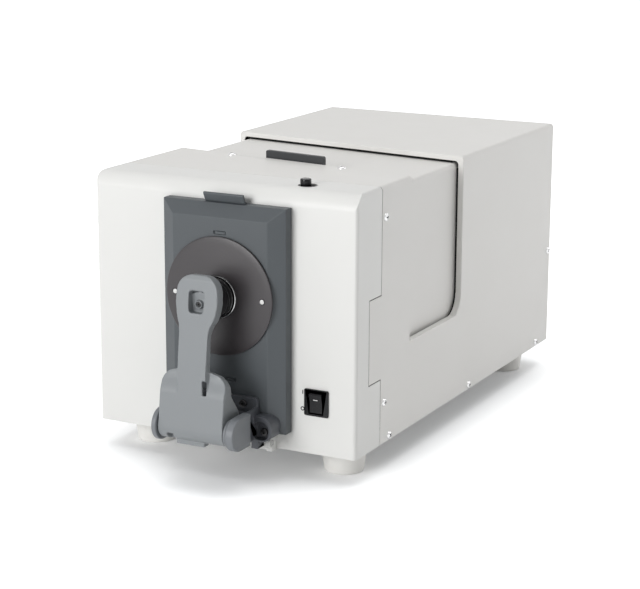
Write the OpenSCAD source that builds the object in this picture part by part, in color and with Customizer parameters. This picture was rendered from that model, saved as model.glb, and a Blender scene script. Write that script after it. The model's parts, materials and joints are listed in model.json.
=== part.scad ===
// Benchtop reflectance and transmittance colour instrument.
// X runs to the right, Y to the rear, Z up; the origin is on the bench,
// midway between the two sides and midway between the hinge and the rear edge.
// Inside the modules Y counts from the front face and is moved back at the end.

/* [Body] */
// Width of the painted body
body_w = 271; // [262:1:285]
// Depth of the painted body from its front face to its rear edge
body_d = 478; // [470:1:500]
// Height of the painted body without its feet
body_h = 240.5; // [234:0.5:250]
// Thickness of the painted sheet
sheet_t = 1.5; // [1.2:0.1:2]
// Radius along the two long top edges
edge_r = 4; // [4:0.5:7]
// Depth of the front bezel up to its seam
bezel_d = 50.4; // [46:0.2:53]
// Wall of the front bezel
bezel_t = 3; // [2.5:0.1:3.5]
// Radius of the bezel's front top edge
bezel_top_r = 16; // [10:1:18]
// Radius of the bezel's upright front edges
bezel_side_r = 3.5; // [3.5:0.5:6]
// Gap along the seam between bezel and cover
seam_gap = 0.8; // [0.4:0.1:1.2]
// How far the cover's side tongue reaches forward into the bezel
tongue_d = 24; // [18:1:28]
// Height of the side tongue's lower edge above the body's bottom
tongue_z = 63; // [50:1:70]
// Height of the side tongue
tongue_h = 78; // [60:1:90]

/* [Feet] */
// Height of a foot
foot_h = 26.5; // [20:0.5:32]
// Foot radius on the bench
foot_r_low = 17.5; // [14:0.5:19]
// Foot radius under the body
foot_r_top = 22; // [20:0.5:24]
// Distance of the feet from the sides
foot_in = 34; // [28:1:40]
// Distance of the front feet from the front face
foot_front = 46; // [40:1:60]
// Distance of the rear feet from the rear edge
foot_rear = 43; // [38:1:60]

/* [Chamber and lid] */
// Angle of the optical axis and of the chamber edges
slant = 8; // [6:0.5:9]
// Chamber front edge, measured along the optical axis from the front face
chamber_front = 129.2; // [127:0.2:132]
// Chamber mouth, measured the same way
chamber_rear = 247.7; // [242:0.2:252]
// Lower edge of the side openings above the body's bottom
lip_z = 84.5; // [82:0.5:92]
// Radius of the openings' lower rear corners
lip_r = 20; // [12:1:24]
// Width of the folded edge round the openings
rim_w = 6; // [4:0.5:7]
// How far the lid lies below the side faces
lid_side_in = 8.5; // [8:0.1:10]
// How far the lid lies below the top face
lid_top_in = 7.5; // [7:0.1:9]
// How far the closed lid reaches under the rear cover
lid_tuck = 18; // [12:1:22]
// Width of the lid's finger grip
grip_w = 67.8; // [50:0.2:90]
// Thickness of the finger grip
grip_t = 5; // [3:0.5:6]
// Height of the finger grip above the body's top face
grip_up = 7; // [5:0.5:14]
// Distance from the chamber's front edge to the grip
grip_gap = 2.2; // [1:0.2:4]

/* [Front plate] */
// Distance of the sample axis from the body's middle
axis_x = 8.5; // [0:0.5:12]
// Height of the sample axis above the body's bottom
axis_z = 141.5; // [134:0.5:144]
// Width of the hinged front plate
door_w = 125.8; // [122:0.2:136]
// Distance of the hinged front plate from the body's top
door_top_in = 15.9; // [13:0.1:18]
// Height of its lower edge above the body's bottom
door_z = 17.8; // [16:0.2:21]
// Gap between the plate and the bezel
door_gap = 0.6; // [0.5:0.1:1]
// How far the plate's side wall stands out
door_rim = 11.3; // [9:0.1:13]
// How far its raised middle stands out
door_out = 19.5; // [17:0.1:22]
// Width of the bevel at the sides
bevel_side = 14.7; // [10:0.1:16]
// Width of the bevel at top and bottom
bevel_top = 12; // [9:0.1:15]
// Wall of the plate
door_t = 3; // [2.5:0.1:4]
// Width of the pull at its top
pull_w = 41; // [30:1:60]
// Height of the pull
pull_h = 9; // [6:0.5:12]

/* [Mask] */
// Radius of the target mask
mask_r = 54.5; // [50:0.5:58]
// Radius of the measuring opening
aperture_r = 12.7; // [8:0.1:13.5]
// How far the mask's edge stands out from the plate
mask_out = 2.6; // [2:0.1:4]
// Extra height of the mask's middle over its edge
mask_rise = 2.4; // [1:0.1:3]
// Thickness of the mask
mask_t = 2.4; // [2:0.1:3]
// Distance of the two mask pins from the axis
mask_pin_at = 44.8; // [41:0.2:47]

/* [Sample holder] */
// How far the holder's hinge lies in front of the bezel
hinge_out = 63.5; // [60:0.5:68]
// Height of the holder's hinge above the body's bottom
hinge_z = 30; // [28:0.5:33]
// Radius of the hinge barrel
barrel_r = 12; // [11:0.5:13]
// Radius of the hinge covers
cover_r = 15; // [14.5:0.5:16.5]
// Radius of the holder's hinge pin
hinge_pin_r = 3; // [2.5:0.1:4]
// Running clearance of every pin in its bore
run = 0.06; // [0.03:0.01:0.1]
// Lean of the holder towards the body
lean = 7; // [5:0.5:8]
// Length of the holder above its hinge
arm_len = 139.5; // [136:0.5:143]
// Width of the holder's head
head_w = 42.2; // [38:0.2:46]
// Width of its neck
neck_w = 29.2; // [24:0.2:32]
// Width of its skirt
skirt_w = 66.7; // [62:0.1:67]
// Height of the skirt's shoulders above the hinge
skirt_top = 53; // [48:1:58]
// Radius of the specimen pad
pad_r = 18.4; // [15:0.2:19.4]
// Gap between the pad and the mask ring
pad_gap = 0.35; // [0.3:0.05:1]

/* [Switch and knob] */
// Sideways place of the power switch
switch_x = 96.6; // [90:0.5:110]
// Height of the power switch above the body's bottom
switch_z = 48.8; // [44:0.5:60]
// Width of the switch frame
switch_w = 24.2; // [22:0.2:28]
// Height of the switch frame
switch_h = 25; // [22:0.2:30]
// Sideways place of the viewer knob's hole
knob_x = 73.4; // [60:0.2:85]
// Distance of the knob from the front face
knob_y = 26.3; // [22:0.1:32]
// Radius of the knob
knob_r = 5; // [4.5:0.1:6]
// Height of the knob above the top face
knob_h = 5.8; // [5:0.1:9]
// Travel of the knob
knob_travel = 4.6; // [2:0.1:5]
// Radius of the round hole it stands in
knob_hole_r = 9; // [8.5:0.1:10]

/* [Optics] */
// Inner radius of the integrating sphere
sphere_r = 51; // [48:0.5:52]
// Wall of the sphere
sphere_t = 3; // [2:0.5:3.5]
// Radius of the sphere's joining flange
sphere_flange_r = 64; // [60:0.5:66]
// Radius of the beam lens
lens_r = 18; // [14:0.5:20]

/* [Hidden] */
$fn = 48;

// Small clearance between fixed pieces that slip into each other
fit = 0.2;
// Overshoot of a cutting solid past the face that it cuts
cut = 1;
// Hair's breadth between foam or glass and what holds it
soft = 0.05;

// Heights and planes that many pieces share
top_z = foot_h + body_h;
inner_w = body_w - 2 * sheet_t;
port_z = foot_h + axis_z;
tan_s = tan(slant);
cos_s = cos(slant);
front_y = -(hinge_out + cover_r);
mid_y = (front_y + body_d) / 2;

// Base tray
tray_t = 2;
tray_front = 6;
tray_flange = 14;
tray_w = inner_w - 2 * fit;
deck_z = foot_h + tray_t;

// Screws: pan head radius and height, shank radius, cross recess
screw_head_r = 3.5;
screw_head_h = 2.2;
screw_r = 1.5;
screw_len = 8;
low_screw_z = foot_h + 4.9;
low_screw_y = [foot_front + 23.6, (foot_front + 23.6 + body_d - 35) / 2, body_d - 35];
frame_screw_y = bezel_d + 7.3;
frame_screw_z = [foot_h + 39.5, top_z - 26.5];
rear_screw_y = body_d - 6.3;
rear_screw_z = foot_h + 102;
rear_screw_x = 104;
top_screw_x = [axis_x - 76, axis_x + 52.5];
top_screw_in = 5.7;

// Lid
lid_w = body_w - 2 * lid_side_in;
lid_top = top_z - lid_top_in;
lid_front = chamber_front - 7.7;
lid_rear = chamber_rear + lid_tuck;
lid_low = foot_h + lip_z - 4.5;
lid_foot = 12;
rail_top = lid_low - 0.4;
rail_t = 3;
rail_w = 13;
rail_x = lid_w / 2 - sheet_t - 0.9 - rail_w / 2;
grip_z0 = lid_top;
grip_side = -25.1;

// Chamber walls, along the optical axis
wall_t = 3;
front_wall = lid_front - 0.5 - wall_t;
rear_wall = chamber_rear + 3.3;
floor_z = foot_h + lip_z - 2.5;
wall_top = lid_top - sheet_t - 5;
chamber_half = lid_w / 2 - sheet_t - 2.5;
under_half = rail_x - rail_w / 2 - 1;

// Door hinge and its ears
door_axis_y = -9;
door_axis_z = foot_h + 7.5;
ear_x = 41;
ear_t = 6;
ear_r = 4.5;
knuckle_x = 33.5;
knuckle_t = 7;
door_pin_r = 2.5;
door_base = door_z + foot_h;
door_h = body_h - door_z - door_top_in;
catch_z = door_base + door_h - 22;
catch_r = 4;

// Mask planes
mask_edge_y = -(door_out + mask_out);
mask_mid_y = mask_edge_y - mask_rise;
ring_h = 1.4;
ring_in = 17.2;
ring_out = 20.3;
ring_y = mask_mid_y - ring_h;
spigot_r = 38;
mask_pin_r = 2.2;
mask_pin_face = mask_edge_y - mask_rise * (mask_r - mask_pin_at) / (mask_r - ring_out) - 0.5;
mask_pin_foot = mask_edge_y + 0.2;

// Holder hinge, with places along X counted from the sample axis
axis_y = -hinge_out;
axis_h = foot_h + hinge_z;
arm_left = -skirt_w / 2 + 0.6;
arm_right = skirt_w / 2 + 0.6;
side_gap = 0.35;
left_cover_t = 5;
right_cover_t = 8;
right_boss_t = 3.4;
cover_back = 18.5;
spring_from = -22;
spring_to = 6;
spring_r = 6.6;
left_cover_x = arm_left - side_gap - left_cover_t;
right_boss_x = arm_right + side_gap;
right_cover_x = right_boss_x + right_boss_t;
skirt_in = 0.15;
arm_face = barrel_r;
head_t = 10.5;
neck_t = 7;
pad_back = -49.2;
pad_front = ring_y - pad_gap;
screw_boss_r = 3.8;
pad_screw_r = 2;

// Bracket on the door
bracket_half = 40;
bracket_top = foot_h + 52.3;
bracket_mid = foot_h + 38;
bracket_low = foot_h + 15;
bracket_t = 4;
lobe_in = 34;
lobe_out = 58.6;
lobe_front = -31.5;
lobe_r = 10;
lobe_sunk = 6;
lobe_pocket = [16, 16.5];
lobe_pocket_off = [-1.6, 2];
cheek_t = 3.2;
flange_screw = [26, foot_h + 46];
lobe_screw = [49, foot_h + 23];

// Switch
rocker_w = 12.5;
rocker_h = 19.5;
rocker_r = rocker_h / 2;
rocker_y = 1;
rocker_gap = 0.35;
rocker_pin_r = 1.2;

// Sphere
sphere_out = sphere_r + sphere_t;
sphere_y = front_wall / cos_s - sphere_out - 2.5;
frame_y = tray_front + tray_t + fit;
frame_t = 4;
port_r = 21;

// Rear panel with its two sockets
panel_y = body_d - 3;
inlet_x = -78;
inlet_z = foot_h + 46;
inlet_w = 27.4;
inlet_h = 20;
data_x = 10;
data_z = inlet_z;
data_w = 20;
data_h = 11;

// Flash lamp, filter slide and its motor
lamp_x = axis_x - sphere_out - 24;
lamp_y = sphere_y - 16;
lamp_half = 28;
lamp_back = 26;
lamp_front = 8;
lamp_r = 4;
carriage_half = 13.6;
carriage_x = lamp_x + 11.5;
lamp_screw_x = carriage_x - 4;
filter_r = 8.8;
filter_travel = 20;
motor_w = 28;
motor_h = 30;

// Spectrometer box
spec_from = rear_wall + 49;
spec_len = 96;
spec_left = -92;
spec_right = 40;
spec_low = port_z - 48;
spec_high = port_z + 44;
spec_t = 4;
spec_legs = [[spec_left + 12, 8], [spec_right - 6, 6], [spec_left + 8, spec_len - 6],
    [spec_right - 4, spec_len - 6]];

// Electronics on the tray
psu_left = -rail_x + 6.1;
psu_w = 82;
psu_h = 48;
psu_front = body_d - 150;
psu_rear = body_d - foot_rear - 5;
psu_t = 2;
cap_x = -70;
cap_y = 190;
cap_step = 42;
cap_r = 17;
cap_h = 56;
board_z = deck_z + 10;
board_low = [psu_left + psu_w + 16, body_d - 170];
board_high = [board_low[0] + 100, body_d - 40];
board_t = 1.6;

// Moves a model that counts Y from the front face to the shared origin
module placed() {
    translate([0, -mid_y, 0]) children();
}

// Turns a model onto the slanted optical axis
module on_axis() {
    translate([axis_x, 0, 0]) rotate([0, 0, -slant]) children();
}

// Extrusions of a drawing along Y (drawn in X and Z) and along X (drawn in Y and Z)
module along_y(from, to) {
    translate([0, to, 0]) rotate([90, 0, 0]) linear_extrude(to - from) children();
}
module along_x(from, to) {
    translate([from, 0, 0]) rotate([90, 0, 90]) linear_extrude(to - from) children();
}

// Bars and discs along Y and X
module rod_y(x, z, from, to, r) {
    along_y(from, to) translate([x, z]) circle(r);
}
module rod_x(y, z, from, to, r) {
    along_x(from, to) translate([y, z]) circle(r);
}

// Box between two corners
module block(low, high) {
    translate(low) cube(high - low);
}

// Drawing of a box with two rounded upper corners
module arch(w, h, r) {
    translate([-w / 2, 0]) square([w, h - r]);
    translate([r - w / 2, 0]) square([w - 2 * r, h]);
    for (side = [-1, 1]) translate([side * (w / 2 - r), h - r]) circle(r);
}

// Drawing of a box with four rounded corners, centred
module round_box(w, h, r) {
    square([w - 2 * r, h], center = true);
    square([w, h - 2 * r], center = true);
    for (sx = [-1, 1], sy = [-1, 1]) translate([sx * (w / 2 - r), sy * (h / 2 - r)]) circle(r);
}

// Slab between two planes square to the optical axis
module slab(from, to, z_from, z_to) {
    on_axis() block([-body_w, from, z_from], [body_w, to, z_to]);
}

// Pan-head screw along +X, its head's underside at the origin
module pan_screw(head_r, head_h, shank_r, shank_len) {
    difference() {
        union() {
            rod_x(0, 0, 0, head_h, head_r);
            rod_x(0, 0, -shank_len, 0, shank_r);
        }
        for (turn = [0, 90]) rotate([turn, 0, 0])
            block([head_h * 0.45, -head_r * 0.6, -head_r * 0.11],
                [head_h + cut, head_r * 0.6, head_r * 0.11]);
    }
}

// Outline points of an arc in the order that an outline goes round
function arc(cx, cy, r, a0, a1, steps = 8) =
    [for (i = [0 : steps]) let (a = a0 + (a1 - a0) * i / steps) [cx + r * cos(a), cy + r * sin(a)]];

// Fore-and-aft place of a slanted plane where it meets a given X
function plane_y(along, x) = along / cos_s - (x - axis_x) * tan_s;

// Pan under everything, with a turned-up edge
module base_tray() {
    tray_rear = panel_y - sheet_t;
    placed() color("gainsboro") difference() {
        block([-tray_w / 2, tray_front, foot_h], [tray_w / 2, tray_rear, foot_h + tray_flange]);
        block([-tray_w / 2 + tray_t, tray_front + tray_t, deck_z],
            [tray_w / 2 - tray_t, tray_rear - tray_t, foot_h + tray_flange + cut]);
        for (sx = [-1, 1], y = [foot_front, body_d - foot_rear])
            translate([sx * (body_w / 2 - foot_in), y, foot_h - cut])
                cylinder(h = tray_t + 2 * cut, r = 2.2);
        for (y = low_screw_y) rod_x(y, low_screw_z, -body_w, body_w, screw_r + 0.1);
        for (x = [-rear_screw_x, rear_screw_x]) rod_y(x, low_screw_z, tray_rear - 3, tray_rear + cut,
            screw_r + 0.1);
    }
}

// Round tapered feet with a sunk screw hole
module feet() {
    placed() color("ivory") for (sx = [-1, 1], y = [foot_front, body_d - foot_rear])
        translate([sx * (body_w / 2 - foot_in), y, 0]) difference() {
            union() {
                translate([0, 0, 2]) cylinder(h = foot_h - 2, r1 = foot_r_low + 1, r2 = foot_r_top);
                cylinder(h = 2, r1 = foot_r_low, r2 = foot_r_low + 1);
            }
            translate([0, 0, -cut]) cylinder(h = foot_h * 0.6 + cut, r = 6);
            cylinder(h = foot_h + cut, r = 2.2);
        }
}

module foot_screws() {
    placed() color("silver") for (sx = [-1, 1], y = [foot_front, body_d - foot_rear])
        translate([sx * (body_w / 2 - foot_in), y, foot_h * 0.6]) rotate([0, 90, 0])
            pan_screw(4, 2.6, 2, foot_h * 0.4 + tray_t + 3);
}

// Outside of the covers from one fore-and-aft place to another
module hull_shape(from, to, in_side, in_top, r) {
    along_y(from, to) translate([0, foot_h]) arch(body_w - 2 * in_side, body_h - in_top, r);
}

// Folded edge that follows the slanted top and side edges of the opening
module folded_edge(from, to, z_from) {
    difference() {
        intersection() {
            hull_shape(bezel_d, body_d, 0, 0, edge_r);
            slab(from, to, z_from, top_z + cut);
        }
        hull_shape(0, body_d + cut, rim_w, rim_w - 1, edge_r);
    }
}

// Sill under one side opening, with the round of its rear corner still filled
module opening_sill(side) {
    y_front = plane_y(chamber_front, side * body_w / 2);
    y_rear = plane_y(chamber_rear, side * body_w / 2);
    sill = foot_h + lip_z;
    x0 = side > 0 ? body_w / 2 - rim_w : -body_w / 2;
    block([x0, y_front - 2, sill - sheet_t], [x0 + rim_w, y_rear - lip_r, sill + 1]);
    along_x(x0, x0 + rim_w) translate([y_rear - lip_r, sill + lip_r]) intersection() {
        circle(lip_r + sheet_t);
        translate([0, -lip_r - sheet_t]) square(lip_r + sheet_t);
    }
}

// What the opening takes away: a slanted slab with two round lower rear corners
module opening_cut() {
    sill = foot_h + lip_z;
    difference() {
        slab(chamber_front, chamber_rear, sill, top_z + cut);
        for (side = [-1, 1]) {
            x0 = side > 0 ? body_w / 4 : -body_w;
            y_rear = plane_y(chamber_rear, side * body_w / 2);
            along_x(x0, x0 + body_w * 0.75) translate([y_rear - lip_r, sill + lip_r - 0.2]) difference() {
                translate([0, -lip_r - cut]) square([2 * lip_r, lip_r + cut]);
                circle(lip_r);
            }
        }
    }
}

// One sheet shell: front part, rear part and the low bands that join them
module main_cover() {
    placed() color("whitesmoke") difference() {
        union() {
            difference() {
                hull_shape(bezel_d + seam_gap / 2, body_d, 0, 0, edge_r);
                hull_shape(0, body_d + cut, sheet_t, sheet_t, edge_r - sheet_t);
            }
            folded_edge(chamber_front - sheet_t, chamber_front + cut, foot_h + lip_z - cut);
            folded_edge(chamber_rear - cut, chamber_rear + sheet_t, foot_h + lip_z + lip_r - cut);
            for (side = [-1, 1]) opening_sill(side);
            for (side = [-1, 1]) mirror([side < 0 ? 1 : 0, 0, 0])
                block([body_w / 2 - sheet_t, bezel_d - tongue_d, foot_h + tongue_z],
                    [body_w / 2, bezel_d + seam_gap, foot_h + tongue_z + tongue_h]);
        }
        opening_cut();
        for (y = low_screw_y) rod_x(y, low_screw_z, -body_w, body_w, screw_r + 0.1);
        for (z = frame_screw_z) rod_x(frame_screw_y, z, -body_w, body_w, screw_r + 0.1);
        rod_x(rear_screw_y, rear_screw_z, -body_w, body_w, screw_r + 0.1);
        for (x = top_screw_x)
            translate([x, plane_y(chamber_front, x) - top_screw_in, top_z - 2 * sheet_t])
                cylinder(h = 4 * sheet_t, r = screw_r + 0.1);
    }
}

// Outside of the front bezel, drawn in by a wall
module bezel_shape(wall, rear) {
    r_top = bezel_top_r - wall;
    r_side = bezel_side_r - wall;
    r_edge = edge_r - wall;
    intersection() {
        hull_shape(wall, rear, wall, wall, r_edge);
        along_x(-body_w, body_w) translate([wall, foot_h - cut]) union() {
            square([rear - wall, body_h - wall - r_top + cut]);
            translate([r_top, 0]) square([rear - wall - r_top, body_h - wall + cut]);
            translate([r_top, body_h - wall - r_top + cut]) circle(r_top);
        }
        translate([0, 0, foot_h - cut]) linear_extrude(body_h + 2 * cut) {
            translate([-body_w / 2 + wall, wall + r_side]) square([body_w - 2 * wall, rear]);
            translate([-body_w / 2 + wall + r_side, wall]) square([body_w - 2 * wall - 2 * r_side, rear]);
            for (sx = [-1, 1]) translate([sx * (body_w / 2 - wall - r_side), wall + r_side]) circle(r_side);
        }
    }
}

// Moulded front with its openings for port, switch, knob and side tongues
module front_bezel() {
    placed() color("white") difference() {
        bezel_shape(0, bezel_d - seam_gap / 2);
        intersection() {
            bezel_shape(bezel_t, bezel_d + cut);
            block([-body_w, 0, foot_h - cut], [body_w, bezel_d + cut, top_z]);
        }
        block([-body_w / 2 + bezel_t, bezel_t, foot_h - cut],
            [body_w / 2 - bezel_t, bezel_d + cut, foot_h + cut]);
        block([-tray_w / 2 - fit, tray_front - fit, foot_h - cut],
            [tray_w / 2 + fit, bezel_d + cut, foot_h + tray_flange + fit]);
        rod_y(axis_x, port_z, -cut, bezel_t + cut, port_r + 2);
        rod_y(axis_x, catch_z, -cut, bezel_t + cut, catch_r + fit);
        block([switch_x - switch_w / 2 + 1.5, -cut, foot_h + switch_z - switch_h / 2 + 1.5],
            [switch_x + switch_w / 2 - 1.5, bezel_t + cut, foot_h + switch_z + switch_h / 2 - 1.5]);
        translate([knob_x, knob_y, top_z - 2 * bezel_t]) cylinder(h = 3 * bezel_t, r = knob_hole_r);
        block([-body_w, bezel_d - tongue_d - seam_gap, foot_h + tongue_z - seam_gap],
            [body_w, bezel_d + cut, foot_h + tongue_z + tongue_h + seam_gap]);
    }
}

// Upright inner casting that carries the bezel, the sphere and the covers' front edge
module front_frame() {
    half = body_w / 2 - bezel_t - 1;
    high = top_z - bezel_top_r - 1;
    placed() color("dimgray") difference() {
        union() {
            block([-half, frame_y, deck_z], [half, frame_y + frame_t, high]);
            for (side = [-1, 1]) mirror([side < 0 ? 1 : 0, 0, 0]) {
                block([half - wall_t, frame_y, deck_z], [half, bezel_d + 2, high]);
                block([half - wall_t, bezel_d + 2, deck_z], [inner_w / 2 - fit, frame_screw_y + 7, high]);
            }
        }
        for (side = [-1, 1]) mirror([side < 0 ? 1 : 0, 0, 0])
            block([tray_w / 2 - tray_t - fit, frame_y, foot_h],
                [body_w, body_d, foot_h + tray_flange + fit]);
        rod_y(axis_x, port_z, 0, frame_y + frame_t + cut, port_r);
        for (z = frame_screw_z) rod_x(frame_screw_y, z, -body_w, body_w, screw_r + 0.1);
        block([switch_x - switch_w / 2, 0, foot_h + switch_z - switch_h / 2],
            [switch_x + switch_w / 2, frame_y + frame_t + cut, foot_h + switch_z + switch_h / 2]);
    }
}

// Flat rear panel with folded sides and its socket cut-outs
module rear_panel() {
    half = inner_w / 2 - fit;
    placed() color("whitesmoke") difference() {
        union() {
            along_y(panel_y - sheet_t, panel_y) translate([0, foot_h])
                arch(2 * half, body_h - sheet_t - fit, edge_r - sheet_t);
            for (side = [-1, 1]) mirror([side < 0 ? 1 : 0, 0, 0])
                block([half - sheet_t, panel_y - 11, foot_h + tray_flange + 2],
                    [half, panel_y, top_z - edge_r - 2]);
        }
        block([inlet_x - inlet_w / 2, panel_y - 3, inlet_z - inlet_h / 2],
            [inlet_x + inlet_w / 2, body_d, inlet_z + inlet_h / 2]);
        block([data_x - data_w / 2, panel_y - 3, data_z - data_h / 2],
            [data_x + data_w / 2, body_d, data_z + data_h / 2]);
        rod_x(rear_screw_y, rear_screw_z, -body_w, body_w, screw_r + 0.1);
        for (i = [0 : 9]) block([30 + i * 8, panel_y - 3, foot_h + 150],
            [33 + i * 8, body_d, foot_h + 190]);
        for (x = [-rear_screw_x, rear_screw_x]) rod_y(x, low_screw_z, panel_y - 3, body_d, screw_r + 0.1);
    }
}

module rear_screws() {
    placed() color("silver") for (x = [-rear_screw_x, rear_screw_x])
        translate([x, panel_y, low_screw_z]) rotate([0, 0, 90])
            pan_screw(screw_head_r, screw_head_h, screw_r, screw_len - 3);
}

// Side and top screws of the covers
module cover_screws() {
    places = concat([for (y = low_screw_y) [y, low_screw_z]], [for (z = frame_screw_z) [frame_screw_y, z]],
        [[rear_screw_y, rear_screw_z]]);
    placed() color("silver") {
        for (side = [-1, 1], p = places) mirror([side < 0 ? 1 : 0, 0, 0])
            translate([body_w / 2, p[0], p[1]]) pan_screw(screw_head_r, screw_head_h, screw_r,
                screw_len - 3);
        for (x = top_screw_x) translate([x, plane_y(chamber_front, x) - top_screw_in, top_z])
            rotate([0, -90, 0]) pan_screw(screw_head_r, screw_head_h, screw_r, screw_len - 3);
    }
}

// Sliding lid: an upside-down U with slanted ends and feet that run on the rails
module slide_lid() {
    placed() color("white") intersection() {
        slab(lid_front, lid_rear, foot_h, top_z);
        block([-body_w, 0, lid_low], [body_w, body_d, top_z]);
        union() {
            difference() {
                hull_shape(0, body_d, lid_side_in, lid_top_in, edge_r);
                hull_shape(-cut, body_d + cut, lid_side_in + sheet_t, lid_top_in + sheet_t,
                    edge_r - sheet_t);
            }
            for (side = [-1, 1]) mirror([side < 0 ? 1 : 0, 0, 0])
                block([lid_w / 2 - lid_foot, 0, lid_low - cut],
                    [lid_w / 2 - sheet_t / 2, body_d, lid_low + sheet_t]);
        }
    }
}

// Upright grip on the lid, with rounded upper corners
module lid_grip() {
    grip_h = top_z + grip_up - grip_z0;
    grip_y = chamber_front + grip_gap;
    placed() color("dimgray") on_axis() translate([grip_side, 0, grip_z0])
        along_y(grip_y, grip_y + grip_t) arch(grip_w, grip_h, 2);
}

// Two bent rails that carry the lid
module lid_rails() {
    placed() color("silver") for (side = [-1, 1]) mirror([side < 0 ? 1 : 0, 0, 0]) {
        block([rail_x - rail_w / 2, front_wall + wall_t - 20, rail_top - rail_t],
            [rail_x + rail_w / 2, body_d - 30, rail_top]);
        block([rail_x - wall_t / 2, front_wall + wall_t - 20, deck_z],
            [rail_x + wall_t / 2, body_d - 30, rail_top - rail_t]);
    }
}

// Black foam: one frame between cover and front wall, one between rear cover and lid
module cover_seals() {
    placed() color("black") {
        difference() {
            intersection() {
                hull_shape(bezel_d, body_d, sheet_t + soft, sheet_t + soft, edge_r - sheet_t);
                slab(front_wall, front_wall + wall_t, foot_h + lip_z, top_z);
            }
            block([-chamber_half, 0, 0], [chamber_half, body_d, wall_top]);
        }
        difference() {
            intersection() {
                hull_shape(bezel_d, body_d, sheet_t + soft, sheet_t + soft, edge_r - sheet_t);
                slab(chamber_rear + sheet_t + 4, chamber_rear + sheet_t + 9, foot_h + lip_z + lip_r, top_z);
            }
            hull_shape(0, body_d + cut, lid_side_in - 0.5, lid_top_in - 0.5, edge_r);
        }
    }
}

// Walls and floor of the transmittance chamber
module chamber_wall(along, hole_r) {
    difference() {
        intersection() {
            slab(along, along + wall_t, deck_z, wall_top);
            union() {
                block([-under_half, 0, deck_z], [under_half, body_d, floor_z + tray_t]);
                block([-chamber_half, 0, floor_z], [chamber_half, body_d, top_z]);
            }
        }
        on_axis() rod_y(0, port_z, along - cut, along + wall_t + cut, hole_r);
    }
}
module chamber_front_wall() {
    placed() color("dimgray") chamber_wall(front_wall, port_r);
}
module chamber_rear_wall() {
    placed() color("dimgray") chamber_wall(rear_wall, lens_r + 0.5);
}
module chamber_floor() {
    placed() color("dimgray") intersection() {
        slab(front_wall + wall_t + fit, rear_wall - fit, floor_z, floor_z + tray_t);
        block([-under_half, 0, foot_h], [under_half, body_d, top_z]);
    }
}
module chamber_seals() {
    placed() color("black") intersection() {
        slab(rear_wall, rear_wall + wall_t, wall_top, lid_top - sheet_t - 0.5);
        block([-chamber_half + 4, 0, foot_h], [chamber_half - 4, body_d, top_z]);
    }
}

// Drawings of the front plate from the side and from above
module door_side(wall) {
    y0 = -door_gap + (wall > 0 ? cut : 0);
    polygon([[y0, door_base + wall], [-door_rim + wall / 2, door_base + wall],
        [-door_out + wall, door_base + bevel_top + wall / 2],
            [-door_out + wall, door_base + door_h - bevel_top - wall / 2],
        [-door_rim + wall / 2, door_base + door_h - wall], [y0, door_base + door_h - wall]]);
}
module door_plan(wall) {
    y0 = -door_gap + (wall > 0 ? cut : 0);
    half = door_w / 2;
    polygon([[wall - half, y0], [wall - half, -door_rim + wall / 2],
        [bevel_side + wall / 2 - half, -door_out + wall],
        [half - bevel_side - wall / 2, -door_out + wall], [half - wall, -door_rim + wall / 2],
            [half - wall, y0]]);
}
module door_shape(wall) {
    intersection() {
        along_x(axis_x - door_w, axis_x + door_w) door_side(wall);
        translate([axis_x, 0, door_base - cut]) linear_extrude(door_h + 2 * cut) door_plan(wall);
    }
}

// Hinged front plate: bevelled shell with the mask seat and two small slots
module door_plate() {
    placed() color("slategray") difference() {
        door_shape(0);
        door_shape(door_t);
        rod_y(axis_x, port_z, -door_out - cut, 0, spigot_r + fit);
        block([axis_x - 6, -door_out - cut, port_z + 56], [axis_x + 6, -door_out + 1.5, port_z + 59]);
        block([axis_x + 4, -door_out - cut, port_z - 78], [axis_x + 16, -door_out + 1.5, port_z - 75]);
        for (sx = [-1, 1], p = [flange_screw, lobe_screw])
            rod_y(axis_x + sx * p[0], p[1], -door_out - cut, 0, screw_r + 0.1);
    }
}

// Pull that leans forward from the plate's top
module door_pull() {
    base = door_base + door_h;
    placed() color("slategray") translate([axis_x, 0, 0]) along_x(-pull_w / 2, pull_w / 2)
        polygon([[-4, base], [-9, base], [-13, base + pull_h - 1.4], [-12.4, base + pull_h],
            [-10.6, base + pull_h], [-8.4, base + 3]]);
}

// White ears on the body that carry the front plate's hinge
module door_ears() {
    placed() color("whitesmoke") for (side = [-1, 1]) translate([axis_x, 0, 0])
        mirror([side < 0 ? 1 : 0, 0, 0]) {
        difference() {
            union() {
                along_x(ear_x, ear_x + ear_t) union() {
                    translate([door_axis_y, door_axis_z]) circle(ear_r);
                    translate([door_axis_y, foot_h - 1]) square([-door_axis_y,
                        door_axis_z + ear_r - foot_h + 1]);
                }
                block([ear_x - 19, -3, foot_h - 2], [ear_x + ear_t, 0, foot_h + 5]);
                block([ear_x - 19, -3, foot_h - 2], [ear_x + ear_t, tray_front + 14, foot_h]);
            }
            rod_x(door_axis_y, door_axis_z, 0, body_w, door_pin_r);
        }
    }
}
module door_pins() {
    placed() color("silver") for (side = [-1, 1]) translate([axis_x, 0, 0]) mirror([side < 0 ? 1 : 0, 0, 0])
        rod_x(door_axis_y, door_axis_z, knuckle_x, ear_x + ear_t + 0.6, door_pin_r);
}

// Magnet catch that stands out of the body into the plate's hollow back
module door_catch() {
    placed() color("silver") rod_y(axis_x, catch_z, -door_gap - 4, frame_y, catch_r);
}

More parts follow.
